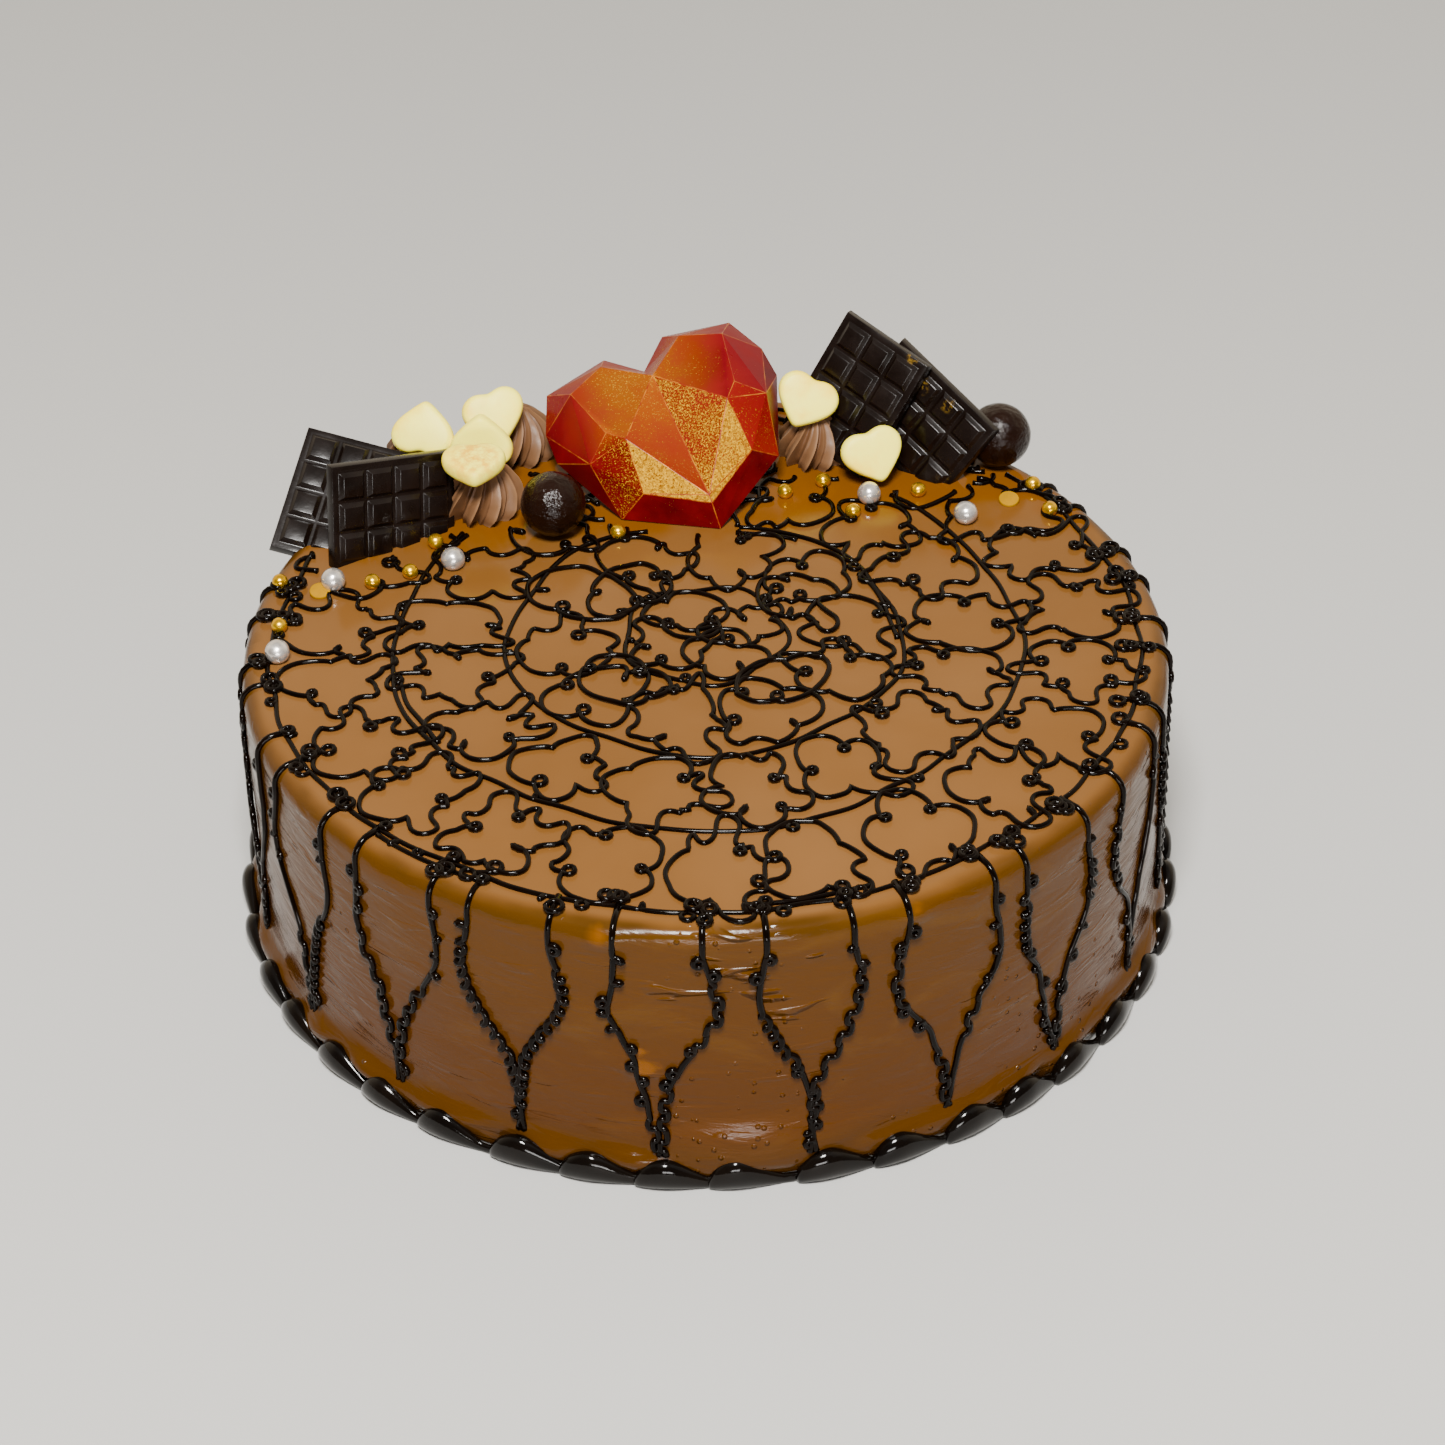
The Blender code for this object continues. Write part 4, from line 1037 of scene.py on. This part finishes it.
def medallionLine(band, bearing, lobes, rng, level, detail):
    radius, *rest, depth, width = band
    turn = rng.uniform(0, 2 * pi)
    shares = [rng.uniform(*piping["share"]) for lobe in range(lobes)]
    cusps = [rng.uniform(*piping["cusp"]) for lobe in range(lobes)]
    depth *= rng.uniform(*piping["spread"])
    width *= rng.uniform(*piping["spread"])
    tremble = upward * detail.uniform(0, 90)
    cusps = [cusp * detail.uniform(0.55, 1.1) for cusp in cusps]
    centre = polar(radius, bearing, level)
    meanReach = 0.25 * (depth + width)
    spots = []
    for lobe in range(lobes):
        span = 2 * pi * shares[lobe] / sum(shares)
        steps = max(12, int(piping["stepsPerTurn"] * span / (2 * pi)))
        wiggleShare = piping["wiggle"] if radius > 40 else piping["wiggleMiddle"]
        wiggle = drawWiggle(detail, span * 0.88 * meanReach, wiggleShare)
        for step in range(steps):
            u = step / steps
            cusp = cusps[lobe] * (1 - u) + cusps[(lobe + 1) % lobes] * u
            reach = 1 - cusp * (1 - sin(pi * u) ** piping["roundness"])
            angle = turn + span * u
            reach *= 1 + 0.05 * noise.noise((polar(1.7, angle) + tremble) * 1.6) * sin(pi * u) ** 0.5
            inwards, sideways = wiggleAt(wiggle, u)
            reach -= inwards / meanReach
            angle += sideways / meanReach
            across = 0.5 * width * reach * sin(angle)
            out = radius + 0.5 * depth * reach * cos(angle)
            if radius > piping["flatBand"]:
                flat = polar(out, bearing + across / radius)
            else:
                flat = polar(out, bearing) + polar(across, bearing + pi / 2)
            spot = warped(flat, level)
            spots.append((*spot, piping["thick"]))
            if not step:
                spots += cuspMark(spot, (centre - spot).normalized(), detail)
        turn += span
    return spots


def arcLine(radius, phase, wave, detail, offset=0.0, start=0.0, span=2 * pi):
    count = int(span * radius / piping["arcStep"])
    untilCurl = detail.randint(8, 20)
    tremble = detail.uniform(0, 90)
    spots = []
    for step in range(count + (span < 2 * pi)):
        t = start + span * step / count
        reach = radius + offset + wave * sin(piping["arcWaves"] * t + phase)
        reach += piping["arcTremble"] * noise.noise(polar(radius * 0.07, t, tremble))
        spot = polar(reach, t, cake["height"] + piping["lift"] - 0.1)
        spots.append((*spot, piping["thick"]))
        untilCurl -= 1
        if untilCurl <= 0:
            spots += cuspMark(spot, polar(1, t) * detail.choice((-1, 1)), detail)
            untilCurl = detail.randint(6, 14) if radius > 100 else detail.randint(12, 30)
    return spots


def topLines():
    rng = random.Random(piping["seed"])
    detail = random.Random(piping["detailSeed"])
    height = cake["height"] + piping["lift"]
    lines = []
    for radius in piping["arcRadii"]:
        phase = rng.uniform(0.0, 6.28)
        wave = piping["outerArcWave"] if radius == piping["arcRadii"][-1] else piping["arcWave"]
        lines.append((arcLine(radius, phase, wave, detail), True))
        for double in range(int(radius / 22)):
            start, span = detail.uniform(0, 6.28), detail.uniform(14, 34) / radius
            offset = detail.choice((-2.2, -1.6, 1.6))
            lines.append((arcLine(radius, phase, wave, detail, offset, start, span), False))
    rows = [(band, rng, 2.0, (3, 4, 4, 5), 1) for band in bands]
    rows.append((extraBand, detail, 9, (2, 3, 3), 2 + piping["layers"]))
    for band, source, jitter, lobeCounts, layer in rows:
        for index in range(band[1]):
            bearing = radians(band[2] + 360 * index / band[1] + source.uniform(-jitter, jitter))
            lobes = source.choice(lobeCounts)
            level = height + piping["layer"] * (layer + index % piping["layers"])
            lines.append((medallionLine(band, bearing, lobes, source, level, detail), True))
    return finishLines(lines, detail)


strand = {
    "feet": 21, "firstFoot": -5.5, "topPair": 6.5, "thick": 0.76, "footHeight": 9.0, "sway": 1.3,
    "jitter": 1.0, "closest": 0.8, "pinchEnd": 0.6, "footSpread": 0.35, "steps": 240, "fine": 3,
    "coil": (0.95, 0.9, 0.3), "coilLong": 3.1, "shoulder": 2.0, "overrun": 0.6, "stand": 0.42,
    "rimSteps": 6, "seed": 17, "detailSeed": 11, "kink": 1.1, "plainFrom": 0.97, "grow": 0.16,
    "curlShare": 0.6, "stubShare": 1.0, "curl": (0.85, 1.25), "stub": (1.0, 2.2), "lean": (-0.4, 1.0),
}
knots = {"seed": 23, "loops": (1, 2, 3, 3, 4), "reach": (102.5, 107.5), "size": (1.1, 2.0), "turns": 1.25}


def strandCourses():   # foot, side, bearing at the top and at the foot, sway, pinch
    rng = random.Random(strand["seed"])
    pitch = 360 / strand["feet"]
    courses = []
    for foot in range(strand["feet"]):
        footBearing = -90 + strand["firstFoot"] + pitch * foot
        for side in (-1.0, 1.0):
            top = footBearing + side * 0.5 * (pitch - strand["topPair"])
            top += rng.uniform(-strand["jitter"], strand["jitter"])
            sway = rng.uniform(-strand["sway"], strand["sway"])
            pinch = rng.uniform(0.2, 1.0) * (0.5 * strand["topPair"] - strand["closest"]) * side
            courses.append((foot, side, top, footBearing + side * strand["footSpread"], sway, pinch))
    return courses


def overRim(bearing):
    spots = [polar(piping["arcRadii"][-1] - strand["overrun"], bearing, cake["height"] + strand["stand"])]
    reach = cake["rim"] + strand["stand"]
    for step in range(1, strand["rimSteps"]):
        turn = pi / 2 * (1 - step / (strand["rimSteps"] - 1))
        spots.append(polar(flatRadius + reach * cos(turn), bearing, wallTop + reach * sin(turn)))
    return [(*spot, strand["thick"]) for spot in spots]


def strandLine(foot, side, top, bottom, sway, pinch, detail):
    fall = wallTop - strand["shoulder"] - strand["footHeight"]
    wide, deep, proud = strand["coil"]
    spots = overRim(radians(top))
    kind, left, untilCurl, strength, phase, snaky = "hooks", 30, 8, 0.0, 0.0, True
    for step in range(strand["steps"] + 1):
        share = step / strand["steps"]
        swing = sway * sin(2 * pi * share) + pinch * sin(pi * min(1, share / strand["pinchEnd"])) ** 2
        bearing = radians(top + (bottom - top) * share * share * (3 - 2 * share) + swing)
        kink = unevenAt(foot * 7.3 + side, share * 9, 1.7) * strand["kink"] / cake["radius"]
        bearing += kink * sin(pi * share)
        z = strand["footHeight"] + fall * (1 - share)
        outward = polar(1, bearing)
        sideways = upward.cross(outward)
        left -= 1
        if left <= 0:
            kind = detail.choices(("coil", "hooks", "smooth"), (6, 4, 2))[0]
            if strength == 0:
                snaky = detail.random() < 0.65
            left = detail.randint(30, 80)
        coiling = kind == "coil" and share < strand["plainFrom"]
        strength = min(1.0, max(0.0, strength + (strand["grow"] if coiling else -strand["grow"])))
        pace = (0.55 if snaky else 1.0) + 0.4 * unevenAt(foot * 3.1, side * 2, share * 14)
        phase += 2 * pi * fall / strand["steps"] / strand["coilLong"] * pace
        spot = polar(wallRadius(z) + flareAt(bearing, z) + strand["stand"], bearing, z)
        if strength > 0:
            swing = wide * strength * sin(phase)
            if snaky:
                spot += sideways * swing + upward * 0.7 * deep * strength * sin(2 * phase)
                spot += outward * proud * strength
            else:
                spot += sideways * side * swing - upward * deep * strength * cos(phase)
                spot += outward * proud * strength * (1 + cos(phase))
        elif step % strand["fine"]:
            continue
        spots.append((*spot, strand["thick"]))
        untilCurl -= strand["fine"] if strength == 0 else 1
        if kind != "hooks" or strength > 0 or untilCurl > 0 or share > strand["plainFrom"]:
            continue
        spots += mark(strand, spot, -upward, sideways * detail.choice((-1, 1)), outward, detail)
        untilCurl = detail.randint(14, 30)
    return spots


def sideLines():
    detail = random.Random(strand["detailSeed"])
    lines = [(strandLine(*course, detail), False) for course in strandCourses()]
    return finishLines(lines, detail)


def rimKnotLines():
    detail = random.Random(knots["seed"])
    lines = []
    for foot, side, top, *rest in strandCourses():
        spots = []
        for loop in range(detail.choice(knots["loops"])):
            bearing = radians(top + detail.uniform(-1.1, 1.1))
            origin = polar(detail.uniform(*knots["reach"]), bearing, cake["height"] + piping["lift"])
            origin += upward * detail.uniform(0.1, 0.6)
            along = Matrix.Rotation(detail.uniform(0, 6.28), 3, "Z") @ polar(1, bearing)
            spots.append((*origin, piping["thick"]))
            spots += curl(origin, along, upward.cross(along), upward, detail.uniform(*knots["size"]),
                          piping["thick"], knots["turns"])
        lines.append((spots, False))
    return finishLines(lines, detail)


sweepLines("topFiligree", topLines(), "Z_UP")
sweepLines("rimKnots", rimKnotLines(), "Z_UP")
sweepLines("sideStrands", sideLines(), "MINIMUM")


studio = {
    "lens": 92.1, "target": (3.9, 0, 47.16), "distance": 912.94, "elevation": 36.68, "roll": -0.727,
    "floor": 6.0, "front": (0.13, 0.125, 0.12), "back": (1.20, 1.04, 0.80), "above": (0.46, 0.45, 0.42),
}
lights = (   # name, bearing, elevation, how far, width, height, power, colour
    ("keyLight", -94, 60, 1.4, 0.30, 0.30, 52.0, (1, 0.98, 0.95)),
    ("fillLight", -20, 45, 1.5, 1.0, 1.0, 0.9, (1, 1, 1)),
    ("windowLight", -86, 11, 1.6, 0.75, 0.26, 14.0, (1, 0.98, 0.96)),
)


def makeFloor():
    bpy.ops.mesh.primitive_plane_add(size=studio["floor"])
    floor = nameNew("floor")
    pale = newMaterial("paleFloor", Roughness=0.65, Specular_IOR_Level=0.2,
                       Base_Color=(0.43, 0.425, 0.41, 1))
    floor.data.materials.append(pale)


def makeRoom():
    world = bpy.data.worlds.new("softRoom")
    bpy.context.scene.world = world
    world.use_nodes = True
    bench["tree"] = world.node_tree
    direction = addNode("TexCoord").outputs["Generated"]
    x, y, z = addNode("SeparateXYZ", {"Vector": direction}).outputs
    around = mixColour(ease(y, -0.5, 0.6), studio["front"], studio["back"])
    room = mixColour(ease(z, 0.62, 0.92), around, studio["above"])
    plug(world.node_tree.nodes["Background"].inputs["Color"], room)


def addLight(name, bearing, elevation, far, wide, high, power, colour):
    data = bpy.data.lights.new(name, "AREA")
    data.shape = "RECTANGLE"
    data.size = wide
    data.size_y = high
    data.energy = power
    data.color = colour
    light = addObject(name, data)
    toLight = polar(cos(radians(elevation)), radians(bearing), sin(radians(elevation)))
    light.location = toLight * far
    light.rotation_euler = toLight.to_track_quat("Z", "Y").to_euler()


def addCamera():
    lens = bpy.data.cameras.new("photoView")
    lens.sensor_width = 36
    lens.lens = studio["lens"]
    lens.clip_start = 0.01
    camera = addObject("photoView", lens)
    elevation = radians(studio["elevation"])
    roll = radians(studio["roll"])
    back = Vector((0, -cos(elevation), sin(elevation)))
    right = Vector((1, 0, 0))
    over = back.cross(right)
    rolledRight = cos(roll) * right + sin(roll) * over
    rolledOver = cos(roll) * over - sin(roll) * right
    place = (Vector(studio["target"]) + back * studio["distance"]) * mm
    turn = Matrix((rolledRight, rolledOver, back)).transposed().to_4x4()
    camera.matrix_world = Matrix.Translation(place) @ turn
    bpy.context.scene.camera = camera


makeFloor()
makeRoom()
for light in lights:
    addLight(*light)
addCamera()
print("studio ready")
